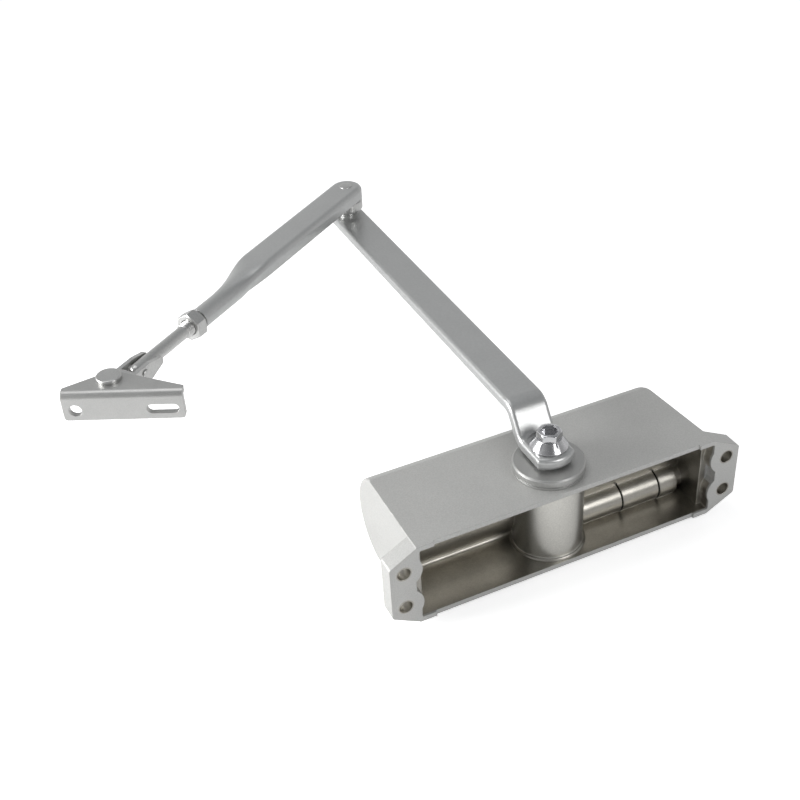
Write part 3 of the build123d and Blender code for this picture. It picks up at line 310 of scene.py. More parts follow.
@dataclass(frozen=True)
class CastingFinish(MetalFinish):
    """Silver paint outside, bare darker casting in the back cavity.

    Args:
        bare: colour of the bare metal.
        tower_base: colour of the tower round the spindle.
        tower_axis: place of the spindle in X and Y.
        tower_radius: radius out to which the tower's colour reaches.
        bare_roughness: roughness of the bare metal.
        bare_metallic: how metallic the bare metal is.
        cavity_half: half length, half height of the cavity, and its depth, in metres.
        hole_place: distance of the screw holes from the middle, along X and Z.
        ring_radius: radius out to which the mouth of a hole is worn bare.
        groove_places: where the grooves round the galleries end, along X.
        groove_width: width of a groove.
        gallery_low_y: nearest face of the galleries.
        gallery_low_z: lowest height of a gallery above the middle.
        gallery_high_z: height above the middle at which the cavity's wall begins.
        lip_depth: depth from the mounting face down to which the lips are painted.
        groove_shade_tone: near-black colour painted into the grooves as their shade.
    """

    bare: tuple[float, float, float] = (0.40, 0.385, 0.35)
    tower_base: tuple[float, float, float] = (0.64, 0.63, 0.59)
    tower_axis: tuple[float, float] = (-0.001, 0.01975)
    tower_radius: float = 0.0167
    bare_roughness: float = 0.33
    bare_metallic: float = 1.0
    cavity_half: tuple[float, float, float] = (0.0755, 0.01925, 0.0335)
    hole_place: tuple[float, float] = (0.0825, 0.0095)
    ring_radius: float = 0.0037
    groove_places: tuple[float, ...] = (0.0383, 0.0586)
    groove_width: float = 0.0009
    gallery_low_y: float = 0.0145
    gallery_low_z: float = 0.0045
    gallery_high_z: float = 0.0187
    lip_depth: float = 0.0012
    # painted shade: near-black colour that stands in for the shadow in the grooves round the galleries
    groove_shade_tone: tuple[float, float, float] = (0.02, 0.02, 0.018)

    def make(self) -> bpy.types.Material:
        """Build the two-tone material, split by a box on Object coordinates.

        Returns:
            The finished material.
        """
        shader = Shader(bpy.data.materials.new(self.name))
        surface = shader.surface()
        size = GRAIN_SIZES[self.grain]
        split = shader.add("ShaderNodeSeparateXYZ")
        shader.join(shader.coordinates.outputs["Object"], split.inputs["Vector"])
        along = shader.math("ABSOLUTE", split.outputs["X"])
        height = shader.math("ABSOLUTE", split.outputs["Z"])
        worn = shader.within(along, height, self.hole_place, self.ring_radius)
        bare = shader.math("MAXIMUM", self.cavity(shader, split, along, height), worn)
        paint_tone = shader.clouds(28.0, 3.0, self.base, 1 - self.cloud, 1 + self.cloud)
        bare_tone = shader.clouds(90.0, 5.0, self.bare, 0.92, 1.09)
        tower = shader.within(split.outputs["X"], split.outputs["Y"], self.tower_axis, self.tower_radius)
        bare_tone = shader.mix(tower, bare_tone, self.tower_base)
        # painted shade: a near-black band darkens the grooves round the galleries
        tone = self.painted_groove_shade(shader, split, height, shader.mix(bare, paint_tone, bare_tone))
        shader.join(self.speckled(shader, tone, size), surface.inputs["Base Color"])
        shader.join(shader.math("MULTIPLY_ADD", bare, self.bare_metallic - self.metallic, self.metallic),
                    surface.inputs["Metallic"])
        paint_rough = shader.math("MULTIPLY_ADD", shader.noise(200.0, 4.0), 0.12, self.roughness - 0.06)
        bare_shift = shader.math("MULTIPLY", bare, self.bare_roughness - self.roughness)
        shader.join(shader.math("ADD", paint_rough, bare_shift), surface.inputs["Roughness"])
        self.relief(shader, surface, size)
        return shader.block

    def cavity(self, shader: Shader, split: bpy.types.Node, along: bpy.types.NodeSocket,
               height: bpy.types.NodeSocket) -> bpy.types.NodeSocket:
        """Mask of the back cavity, as a box.

        Args:
            shader: the material's helper.
            split: node that splits the coordinates.
            along: distance from the middle along X.
            height: distance from the middle along Z.

        Returns:
            1 inside the cavity, 0 elsewhere.
        """
        inside = shader.math("MULTIPLY", shader.math("LESS_THAN", along, self.cavity_half[0]),
                             shader.math("LESS_THAN", height, self.cavity_half[1]))
        depth = shader.math("MULTIPLY",
                            shader.math("LESS_THAN", split.outputs["Y"], self.cavity_half[2]),
                            shader.math("GREATER_THAN", split.outputs["Y"], self.lip_depth))
        return shader.math("MULTIPLY", inside, depth)

    def painted_groove_shade(self, shader: Shader, split: bpy.types.Node, height: bpy.types.NodeSocket,
                     tone: bpy.types.NodeSocket) -> bpy.types.NodeSocket:
        """Paint shade into the grooves round the galleries, as a near-black band.

        Args:
            shader: the material's helper.
            split: node that splits the coordinates.
            height: distance from the middle along Z.
            tone: colour before the painted groove shade.

        Returns:
            The colour with the painted groove shade.
        """
        bands = None
        for place in self.groove_places:
            off = shader.math("ABSOLUTE", shader.math("SUBTRACT", split.outputs["X"],
                                                      place - self.groove_width / 2))
            band = shader.math("LESS_THAN", off, self.groove_width / 2)
            bands = band if bands is None else shader.math("ADD", bands, band)
        near = shader.math("MULTIPLY", shader.math("GREATER_THAN", split.outputs["Y"], self.gallery_low_y),
                           shader.math("GREATER_THAN", height, self.gallery_low_z))
        inner = shader.math("LESS_THAN", height, self.gallery_high_z)
        mask = shader.math("MULTIPLY", bands, shader.math("MULTIPLY", near, inner))
        return shader.mix(mask, tone, self.groove_shade_tone)


PAINTED_CASTING = CastingFinish("painted_casting", (0.50, 0.50, 0.485), 0.35, 0.50, Grain.CAST,
                                cloud=0.03, edge_radius=0.0006, speckle=0.06)
COLLAR_METAL = MetalFinish("collar_metal", (0.42, 0.42, 0.41), 0.75, 0.40, Grain.PAINTED, cloud=0.05)
ARM_COATING = MetalFinish("arm_coating", (0.50, 0.505, 0.50), 0.75, 0.35, Grain.ROLLED, cloud=0.03,
                          edge_radius=0.0005, speckle=0.03)
BRACKET_COATING = MetalFinish("bracket_coating", (0.46, 0.46, 0.45), 0.80, 0.36, Grain.PAINTED, cloud=0.04)
ZINC_PLATE = MetalFinish("zinc_plate", (0.55, 0.55, 0.54), 0.95, 0.32, Grain.PLATED, cloud=0.08,
                         edge_radius=0.0003)
BRIGHT_SCREW = MetalFinish("bright_screw", (0.62, 0.62, 0.63), 1.0, 0.17, Grain.POLISHED, cloud=0.05,
                           edge_radius=0.00025)
HARD_STEEL = MetalFinish("ground_steel", (0.40, 0.40, 0.41), 1.0, 0.28, Grain.PLATED, cloud=0.08)
BUSH_BRONZE = MetalFinish("bush_bronze", (0.46, 0.35, 0.20), 1.0, 0.34, Grain.PLATED, cloud=0.10)
SPRING_WIRE = MetalFinish("oiled_wire", (0.30, 0.30, 0.32), 1.0, 0.30, Grain.PLATED, cloud=0.10)
SEAL_RUBBER = MetalFinish("seal_rubber", (0.04, 0.04, 0.04), 0.0, 0.55, Grain.PAINTED, cloud=0.10)


class Finishes:
    """Makes each material once and hands it out by its finish."""

    def __init__(self) -> None:
        """Start with no material made."""
        self.made: dict[str, bpy.types.Material] = {}

    def get(self, finish: MetalFinish) -> bpy.types.Material:
        """The material of a finish, made on first use."""
        if finish.name not in self.made:
            self.made[finish.name] = finish.make()
        return self.made[finish.name]

    def dress(self, piece: bpy.types.Object, finish: MetalFinish) -> None:
        """Give a piece one finish in place of what it has."""
        piece.data.materials.clear()
        piece.data.materials.append(self.get(finish))


def grid_mesh(name: str, points: np.ndarray, wrap_around: bool = True, closed_profile: bool = False,
              caps: bool = True) -> bpy.types.Object:
    """Turn a grid of points into a smooth mesh object.

    The grid has one row for each step along the piece and one column for each step round it.
    Face (i, j) joins points (i, j), (i, j+1), (i+1, j+1) and (i+1, j).

    Args:
        name: object name.
        points: array of shape (rows, columns, 3), in metres.
        wrap_around: joins the last column to the first.
        closed_profile: joins the last row to the first, as on a ring.
        caps: closes the first and last row with a point at their middle.

    Returns:
        The new object, linked to the scene.
    """
    rows, columns = points.shape[:2]
    index = np.arange(rows * columns).reshape(rows, columns)
    next_column = np.roll(index, -1, axis=1) if wrap_around else index[:, 1:]
    this_column = index if wrap_around else index[:, :-1]
    if closed_profile:
        low_a, low_b = this_column, next_column
        high_a, high_b = np.roll(this_column, -1, axis=0), np.roll(next_column, -1, axis=0)
    else:
        low_a, low_b = this_column[:-1], next_column[:-1]
        high_a, high_b = this_column[1:], next_column[1:]
    quads = np.stack([low_a, low_b, high_b, high_a], axis=-1).reshape(-1, 4)
    vertices = points.reshape(-1, 3)
    faces = [tuple(q) for q in quads.tolist()]
    if caps and not closed_profile:
        ends = np.stack([points[0].mean(axis=0), points[-1].mean(axis=0)])
        first, last = len(vertices), len(vertices) + 1
        vertices = np.concatenate([vertices, ends])
        faces += [(first, b, a) for a, b in zip(this_column[0].tolist(), next_column[0].tolist())]
        faces += [(last, a, b) for a, b in zip(this_column[-1].tolist(), next_column[-1].tolist())]
    mesh = bpy.data.meshes.new(name)
    mesh.from_pydata(vertices.tolist(), [], faces)
    mesh.validate()
    mesh.update()
    mesh.polygons.foreach_set("use_smooth", np.ones(len(mesh.polygons), dtype=bool))
    piece = bpy.data.objects.new(name, mesh)
    bpy.context.scene.collection.objects.link(piece)
    return piece


def crease_edges(piece: bpy.types.Object, degrees: float) -> None:
    """Show every edge that bends by more than some degrees as a sharp one."""
    crease = piece.modifiers.new("edges", "EDGE_SPLIT")
    crease.split_angle = math.radians(degrees)


def close_seams(piece: bpy.types.Object) -> None:
    """Merge the points that lie on one another and turn every face outwards."""
    work = bmesh.new()
    work.from_mesh(piece.data)
    bmesh.ops.remove_doubles(work, verts=work.verts, dist=1e-6)
    bmesh.ops.dissolve_degenerate(work, edges=work.edges, dist=1e-7)
    bmesh.ops.recalc_face_normals(work, faces=work.faces)
    work.to_mesh(piece.data)
    work.free()
    piece.data.update()
    crease_edges(piece, 40)


def hexagon(angle: np.ndarray, flats: float) -> np.ndarray:
    """Radius of a hexagon at an angle: half its flats over the cosine from the nearest flat."""
    from_flat = (angle + math.pi / 6) % (math.pi / 3) - math.pi / 6
    return flats / 2 / np.cos(from_flat)


def turned(name: str, centre: tuple[float, float], profile: np.ndarray,
           columns: int = 96) -> bpy.types.Object:
    """Turned piece on an upright axis, with creased corners.

    Args:
        name: object name.
        centre: place of the axis in X and Y, in metres.
        profile: rows of radius and height in millimetres, or radii for every column and a height.
        columns: steps round the axis.

    Returns:
        The new object.
    """
    angle = np.linspace(0, 2 * math.pi, columns, endpoint=False)
    radius = np.repeat(profile[:, :1], columns, axis=1) if profile.shape[1] == 2 else profile[:, :-1]
    height = np.repeat(profile[:, -1:], columns, axis=1)
    points = np.stack([centre[0] + radius * np.cos(angle) * MM, centre[1] + radius * np.sin(angle) * MM,
                       height * MM], axis=-1)
    piece = grid_mesh(name, points)
    close_seams(piece)
    return piece


def round_corner(radius: float, height: float, size: float, start: float, stop: float) -> np.ndarray:
    """Rows of radius and height on an arc.

    Args:
        radius: distance of the arc's centre from the axis, in millimetres.
        height: height of the arc's centre.
        size: radius of the arc.
        start: angle at which it starts, in degrees above the outward direction.
        stop: angle at which it stops.

    Returns:
        Seven rows of radius and height.
    """
    angle = np.radians(np.linspace(start, stop, 7))
    return np.stack([radius + size * np.cos(angle), height + size * np.sin(angle)], axis=1)


@dataclass(frozen=True)
class RodLine:
    """Straight line of the adjusting rod, from the elbow towards the foot bracket.

    Args:
        start: point on the line above the elbow, in metres.
        along: unit vector along the rod.
    """

    start: Vector
    along: Vector

    def frame(self) -> tuple[np.ndarray, np.ndarray, np.ndarray]:
        """Unit vectors along the rod, across it and up."""
        along = np.array(self.along)
        up = np.array((0.0, 0.0, 1.0))
        return along, np.cross(up, along), up

    def place(self, station: np.ndarray, across: np.ndarray, up: np.ndarray) -> np.ndarray:
        """Points from distances along, across and above the rod's line, in metres."""
        e_along, e_across, e_up = self.frame()
        return (np.array(self.start) + station[..., None] * e_along + across[..., None] * e_across
                + up[..., None] * e_up)


def joint_place(name: str) -> list[float]:
    """The stated place of a joint, in metres."""
    return next(joint["pos_m"] for joint in frame["joints"] if joint["name"] == name)


def rod_line() -> RodLine:
    """The rod's line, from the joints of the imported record."""
    joints = {joint["name"]: joint for joint in frame["joints"]}
    elbow = joints["elbow_fold"]["pos_m"]
    pin = joints["fork_tilt"]["pos_m"]
    return RodLine(Vector((elbow[0], elbow[1], pin[2])), Vector(joints["rod_adjust"]["axis"]).normalized())


@dataclass
class DressedNodes:
    """CAD nodes that keep their mesh and get a finish.

    Args:
        finishes: hands out the materials.
        plain: finish of each node.
    """

    finishes: Finishes
    plain: dict[str, MetalFinish] = field(default_factory=dict)

    def build(self) -> None:
        """Dress every node."""
        for node, finish in self.plain.items():
            self.finishes.dress(frame["nodes"][node], finish)
            LOG.info("dressed %s as %s", node, finish.name)


@dataclass
class CloserBody(DressedNodes):
    """Cast housing with its collar, cap, plug and valve screws, and the works inside it."""

    plain: dict[str, MetalFinish] = field(default_factory=lambda: {
        "housing": PAINTED_CASTING, "spindle_collar": COLLAR_METAL, "lower_cap": COLLAR_METAL,
        "end_plug": HARD_STEEL, "closing_valve_screw": BUSH_BRONZE, "latching_valve_screw": BUSH_BRONZE,
        "upper_bearing": BUSH_BRONZE, "lower_bearing": BUSH_BRONZE, "pinion_shaft": HARD_STEEL,
        "piston": HARD_STEEL, "check_valve_ball": HARD_STEEL, "check_valve_retainer": HARD_STEEL,
        "outer_spring": SPRING_WIRE, "inner_spring": SPRING_WIRE, "spring_seat": HARD_STEEL,
        "upper_seal": SEAL_RUBBER, "lower_cap_o_ring": SEAL_RUBBER, "end_plug_o_ring": SEAL_RUBBER,
        "piston_seal": SEAL_RUBBER, "closing_valve_o_ring": SEAL_RUBBER,
        "latching_valve_o_ring": SEAL_RUBBER,
    })


@dataclass
class ArmLinkage(DressedNodes):
    """Main arm, clevis fork with its pin and rivet, and foot bracket."""

    plain: dict[str, MetalFinish] = field(default_factory=lambda: {
        "main_arm": ARM_COATING, "clevis_fork": ZINC_PLATE, "clevis_pin": ZINC_PLATE,
        "foot_bracket": BRACKET_COATING, "pivot_rivet": ZINC_PLATE,
    })


@dataclass
class RodPiece:
    """New piece on the rod's line.

    Sizes are in millimetres, and a station is a distance along the rod from the elbow.

    Args:
        finishes: hands out the materials.
        line: the rod's line.
    """

    finishes: Finishes
    line: RodLine

    def ring_points(self, station: np.ndarray, radius: np.ndarray, angle: np.ndarray) -> np.ndarray:
        """Points round the rod's line, in metres."""
        return self.line.place(station * MM, radius * np.cos(angle) * MM, radius * np.sin(angle) * MM)


@dataclass
class ThreadedRod(RodPiece):
    """Adjusting rod with a real thread, in place of the plain rod.

    Args:
        thread_start: station of the thread's free end, inside the forearm.
        thread_end: station at which the thread runs out.
        pitch: distance from one turn to the next.
        major: radius of the thread's crest.
        minor: radius of its root.
        bar: radius of the plain bar.
        eye: station of the fork's pin.
        flank: slope of the flanks, where 1 has neither a flat crest nor a flat root.
        root_flat: share of a turn's height that the root's flat cuts off.
        chamfer: how far the free end is turned down below the bar.
    """

    thread_start: float = 115.0
    thread_end: float = 156.0
    pitch: float = 1.25
    major: float = 4.0
    minor: float = 3.25
    bar: float = 3.3
    eye: float = 192.0
    flank: float = 1.25
    root_flat: float = 0.08
    chamfer: float = 0.4

    def build(self) -> bpy.types.Object:
        """Build the rod.

        Radius over distance s and angle a: a triangle wave of s / pitch minus a / full turn, between
        the minor and the major radius, faded out at both ends of the thread; then the plain bar; then
        a quarter circle down to the axis at the eye.

        Returns:
            The rod's object.
        """
        turns = np.arange(self.thread_start, self.thread_end + 0.2, self.pitch / 8)
        bar = np.linspace(self.thread_end + 0.4, self.eye, 24)
        cap = np.linspace(0.1, math.pi / 2 - 0.02, 10)
        station = np.concatenate([turns, bar, self.eye + self.bar * np.sin(cap)])
        angle = np.linspace(0, 2 * math.pi, 56, endpoint=False)
        s, a = np.meshgrid(station, angle, indexing="ij")
        wave = np.abs(((s / self.pitch - a / (2 * math.pi)) % 1.0) * 2 - 1)
        crest = np.clip(wave * self.flank - self.root_flat, 0, 1)
        thread = self.minor + (self.major - self.minor) * crest
        fade = np.clip((self.thread_end - s) / (0.5 * self.pitch), 0, 1)
        lead = np.clip((s - self.thread_start) / self.pitch, 0, 1)
        radius = self.bar + (thread - self.bar) * fade
        radius = np.minimum(radius, self.bar - self.chamfer + lead * 2)
        beyond = np.clip((s - self.eye) / self.bar, 0, 1)
        radius = radius * np.sqrt(np.clip(1 - beyond**2, 0, 1))
        points = self.ring_points(s, radius, a)
        rod = grid_mesh("threaded_rod", points)
        self.finishes.dress(rod, ZINC_PLATE)
        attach(rod, "rod_body")
        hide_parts("adjusting_rod")
        return rod


@dataclass
class LockNut(RodPiece):
    """Hex nut with chamfered corners, in place of the plain nut.

    Args:
        start: station of the nut's first face.
        thickness: distance between its faces.
        flats: distance across its flats.
        bore: radius of its bore.
        bore_edge: size of the chamfer at each end of the bore.
        cone_share: radius of the corners' cone at a face, as a share of half the flats.
        cone_slope: growth of the cone's radius with depth.
    """

    start: float = 145.0
    thickness: float = 6.5
    flats: float = 12.8
    bore: float = 4.06
    bore_edge: float = 0.35
    cone_share: float = 0.985
    cone_slope: float = 1.75

    def build(self) -> bpy.types.Object:
        """Build the nut.

        Radius round the nut: that of a hexagon, cut by a cone that starts a little inside the corners
        at each face.  The profile runs up one face, along the side, down the other face and back
        through the bore, and is carried round the rod.

        Returns:
            The nut's object.
        """
        angle = np.linspace(0, 2 * math.pi, 96, endpoint=False)
        mouth = self.bore + self.bore_edge
        low, high = self.start, self.start + self.thickness
        depth = np.array([0.0, 0.15, 0.35, 0.6, 0.9, 1.3])
        side_station = np.concatenate([low + depth, high - depth[::-1]])
        cone = self.flats / 2 * self.cone_share + np.concatenate([depth, depth[::-1]]) * self.cone_slope
        side_radius = np.minimum(hexagon(angle, self.flats)[None, :], cone[:, None])
        face_share = np.array([0.0, 0.5, 0.97])[:, None]
        low_face = mouth + (side_radius[:1] - mouth) * face_share
        high_face = (mouth + (side_radius[-1:] - mouth) * face_share)[::-1]
        bore = np.full((3, angle.size), self.bore)
        bore_station = np.array([high - self.bore_edge, (low + high) / 2, low + self.bore_edge])
        radius = np.concatenate([low_face, side_radius, high_face, bore])
        station = np.concatenate([np.full(3, low), side_station, np.full(3, high), bore_station])
        s = np.repeat(station[:, None], angle.size, axis=1)
        a = np.repeat(angle[None, :], station.size, axis=0)
        points = self.ring_points(s, radius, a)
        nut = grid_mesh("hex_lock_nut", points, closed_profile=True)
        crease_edges(nut, 28)
        self.finishes.dress(nut, ZINC_PLATE)
        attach(nut, "lock_nut_body")
        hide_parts("lock_nut")
        return nut


@dataclass
class ConeScrew:
    """Bright screw on the arm, a cone under a hex head with a hex socket.

    Sizes and heights are in millimetres.

    Args:
        finishes: hands out the materials.
        seat: height of the arm's face under the screw.
        foot_r: radius at the seat.
        flange_r: radius of the flange.
        flange_z: height of the flange's edge.
        cone_r: radius at the top of the cone.
        cone_z: height of the top of the cone.
        top_z: height of the head.
        flats: distance across the head's flats.
        socket_flats: distance across the socket's flats.
        socket_depth: depth of the socket.
        socket_edge: chamfer at the socket's mouth.
        cut_share: radius of the head's cone at the top, as a share of half the flats.
        cut_slope: growth of that cone's radius with depth.
    """

    finishes: Finishes
    seat: float = 33.65
    foot_r: float = 7.9
    flange_r: float = 8.65
    flange_z: float = 34.9
    cone_r: float = 5.75
    cone_z: float = 39.0
    top_z: float = 42.4
    flats: float = 10.0
    socket_flats: float = 6.9
    socket_depth: float = 3.6
    socket_edge: float = 0.25
    cut_share: float = 0.98
    cut_slope: float = 1.5

    def build(self) -> bpy.types.Object:
        """Build the screw.

        Each row is a radius for every angle, at one height.  The head's hexagon is cut by a cone near
        its top, and the socket's walls run straight down.

        Returns:
            The screw's object.
        """
        angle = np.linspace(0, 2 * math.pi, 120, endpoint=False)
        head, socket = hexagon(angle, self.flats), hexagon(angle, self.socket_flats)
        ones = np.ones_like(angle)
        rows = [(ones * self.foot_r, self.seat), (ones * self.flange_r, self.flange_z),
                (ones * self.cone_r, self.cone_z), (head, self.cone_z + 0.02)]
        for drop in (1.0, 0.7, 0.4, 0.2, 0.0):
            cut = self.flats / 2 * self.cut_share + drop * self.cut_slope
            rows.append((np.minimum(head, cut), self.top_z - drop))
        rows += [(socket + self.socket_edge, self.top_z), (socket, self.top_z - self.socket_edge),
                 (socket, self.top_z - self.socket_depth)]
        profile = np.array([np.append(radius, height) for radius, height in rows])
        screw = turned("cone_screw", tuple(joint_place("spindle_turn")[:2]), profile, columns=angle.size)
        self.finishes.dress(screw, BRIGHT_SCREW)
        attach(screw, "spindle")
        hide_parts("arm_screw")
        return screw


@dataclass
class PressedForearm(RodPiece):
    """Forearm pressed from one sheet, a channel that closes into a tube.

    Heights are above the rod's line.

    Args:
        half: half the channel's width.
        top: height of its top.
        rim: height of its lower rims.
        corner: outer radius of its corners.
        inner_corner: inner radius of its corners.
        sheet: thickness of the sheet in the channel.
        tube_r: outer radius of the tube.
        tube_bore: inner radius of the tube.
        seam_angle: how far each half reaches round the tube, in degrees.
        taper_start: station at which the channel starts to close.
        taper_end: station at which the tube is round.
        tube_end: station of the tube's mouth.
    """

    half: float = 9.0
    top: float = 8.1
    rim: float = 0.8
    corner: float = 2.8
    inner_corner: float = 0.8
    sheet: float = 2.3
    tube_r: float = 5.25
    tube_bore: float = 4.06
    seam_angle: float = 178.5
    taper_start: float = 90.0
    taper_end: float = 128.0
    tube_end: float = 143.0

    def section(self, inset: float, corner: float, tube_r: float) -> tuple[np.ndarray, np.ndarray]:
        """Half of the section as a channel and as a tube, from the top's middle to the rim.

        Args:
            inset: how far the surface lies inside the sheet's outer face.
            corner: radius of the channel's corner.
            tube_r: radius of the tube.

        Returns:
            Rows of distance across and height above the rod's line, for the channel and for the tube.
        """
        half, top = self.half - inset, self.top - inset
        turn = np.linspace(0, math.pi / 2, 9)
        across = np.concatenate([np.linspace(0, half - corner, 9)[:-1],
                                 half - corner + corner * np.sin(turn), np.full(5, half)])
        height = np.concatenate([np.full(8, top), top - corner + corner * np.cos(turn),
                                 np.linspace(top - corner, self.rim, 6)[1:]])
        channel = np.stack([across, height], axis=1)
        travelled = np.append(0, np.cumsum(np.hypot(*np.diff(channel, axis=0).T)))
        bend = math.radians(self.seam_angle) * travelled / travelled[-1]
        return channel, tube_r * np.stack([np.sin(bend), np.cos(bend)], axis=1)

    def build(self) -> bpy.types.Object:
        """Build the forearm.

        Every section is a blend of the channel and the tube, by a smooth step (3 w squared minus
        2 w cubed) of the distance along the taper, and comes no nearer to the rod's line than the
        tube does.  Round the elbow the channel's section turns half a circle about the rivet.  One
        row of the grid is half a section, outside and then inside.

        Returns:
            The forearm's object.
        """
        outer_channel, outer_tube = self.section(0.0, self.corner, self.tube_r)
        inner_channel, inner_tube = self.section(self.sheet, self.inner_corner, self.tube_bore)
        channel = np.concatenate([outer_channel, inner_channel[::-1]])
        tube = np.concatenate([outer_tube, inner_tube[::-1]])
        station = np.concatenate([np.linspace(0, self.taper_start, 12),
                                  np.linspace(self.taper_start, self.taper_end, 40)[1:],
                                  np.linspace(self.taper_end, self.tube_end, 6)[1:]])
        share = np.clip((station - self.taper_start) / (self.taper_end - self.taper_start), 0, 1)
        blend = (3 * share**2 - 2 * share**3)[:, None, None]
        section = (1 - blend) * channel + blend * tube
        floor = np.repeat([self.tube_r, self.tube_bore], len(outer_channel))
        section = section * np.maximum(1, floor / np.hypot(section[..., 0], section[..., 1]))[..., None]
        middle = (section[-1] + section[-1][::-1]) / 2
        section = np.concatenate([section, middle[None]])
        station = np.append(station, station[-1])
        turn = np.radians(np.linspace(-90, 90, 33)[1:-1])[:, None]
        along = np.concatenate([np.repeat(station[::-1, None], len(channel), axis=1),
                                -channel[:, 0] * np.cos(turn),
                                np.repeat(station[:, None], len(channel), axis=1)])
        across = np.concatenate([-section[::-1, :, 0], channel[:, 0] * np.sin(turn), section[:, :, 0]])
        height = np.concatenate([section[::-1, :, 1], np.repeat(channel[None, :, 1], len(turn), axis=0),
                                 section[:, :, 1]])
        points = self.line.place(along * MM, across * MM, height * MM)
        forearm = grid_mesh("pressed_forearm", points, wrap_around=False, caps=False)
        close_seams(forearm)
        self.finishes.dress(forearm, ARM_COATING)
        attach(forearm, "forearm_body")
        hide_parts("forearm")
        return forearm


@dataclass
class Elbow:
    """Turned bush with a narrow foot under the forearm, and the flush rivet through it.

    Sizes and heights are in millimetres.

    Args:
        finishes: hands out the materials.
        bush_r: radius of the bush.
        foot_r: radius of its foot, and of its neck inside the forearm.
        bush_low_z: height of the bush's lower face.
        bush_high_z: height of its upper face.
        bush_edge: radius of its rounded edges.
        rivet_gap: clearance between the bush and the rivet.
        arm_top_z: height of the main arm's upper face.
        arm_low_z: height of its lower face.
        web_low_z: height of the forearm's web, seen from inside.
        forearm_top_z: height of the forearm's upper face.
        rivet_r: radius of the rivet.
        rivet_proud: how far it stands above the forearm.
        rivet_edge: radius of its rounded edge.
        crown: rise of the rivet's face towards its middle.
        tail_r: radius of the tail under the arm.
        tail_face_r: radius of the tail's lower face.
        tail_depth: how far the tail stands below the arm.
    """

    finishes: Finishes
    bush_r: float = 8.9
    foot_r: float = 5.4
    bush_low_z: float = 49.8
    bush_high_z: float = 55.7
    bush_edge: float = 0.9
    rivet_gap: float = 0.04
    arm_top_z: float = 47.0
    arm_low_z: float = 41.0
    web_low_z: float = 60.9
    forearm_top_z: float = 63.5
    rivet_r: float = 3.6
    rivet_proud: float = 0.35
    rivet_edge: float = 0.3
    crown: float = 0.05
    tail_r: float = 6.2
    tail_face_r: float = 4.8
    tail_depth: float = 1.5

    def bush_profile(self) -> np.ndarray:
        """Rows of radius and height from the foot's bore, over the bush, to the neck's bore."""
        bore, outer = self.rivet_r + self.rivet_gap, self.bush_r - self.bush_edge
        return np.concatenate([
            [(bore, self.arm_top_z), (self.foot_r, self.arm_top_z), (self.foot_r, self.bush_low_z)],
            round_corner(outer, self.bush_low_z + self.bush_edge, self.bush_edge, -90, 0),
            round_corner(outer, self.bush_high_z - self.bush_edge, self.bush_edge, 0, 90),
            [(self.foot_r, self.bush_high_z), (self.foot_r, self.web_low_z), (bore, self.web_low_z)]])

    def rivet_profile(self) -> np.ndarray:
        """Rows of radius and height from the tail's lower face to the head."""
        top, edge = self.forearm_top_z + self.rivet_proud, self.rivet_edge
        return np.concatenate([
            [(self.tail_face_r, self.arm_low_z - self.tail_depth), (self.tail_r - 0.1, self.arm_low_z - 0.5),
             (self.tail_r, self.arm_low_z), (self.rivet_r, self.arm_low_z), (self.rivet_r, top - edge)],
            round_corner(self.rivet_r - edge, top - edge, edge, 0, 90),
            [(self.rivet_r / 2, top + self.crown)]])

    def build(self) -> None:
        """Build the bush and the rivet."""
        centre = tuple(joint_place("elbow_fold")[:2])
        bush = turned("turned_bush", centre, self.bush_profile())
        rivet = turned("flush_rivet", centre, self.rivet_profile())
        for piece, node in ((bush, "elbow_bush"), (rivet, "elbow_rivet")):
            self.finishes.dress(piece, ZINC_PLATE)
            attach(piece, "spindle")
            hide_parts(node)


@dataclass(frozen=True)
class Lamp:
    """Square soft lamp.

    Args:
        name: object name.
        place: where it stands, in metres.
        aim: the point it faces.
        size: side of the lamp, in metres.
        power: in watts.
    """

    name: str
    place: tuple[float, float, float]
    aim: tuple[float, float, float]
    size: float
    power: float

    def build(self) -> None:
        """Build the lamp and turn it to its aim."""
        data = bpy.data.lights.new(self.name, "AREA")
        data.shape = "SQUARE"
        data.size = self.size
        data.energy = self.power
        lamp = bpy.data.objects.new(self.name, data)
        lamp.location = self.place
        lamp.rotation_mode = "QUATERNION"
        lamp.rotation_quaternion = (Vector(self.aim) - Vector(self.place)).to_track_quat("-Z", "Y")
        bpy.context.scene.collection.objects.link(lamp)


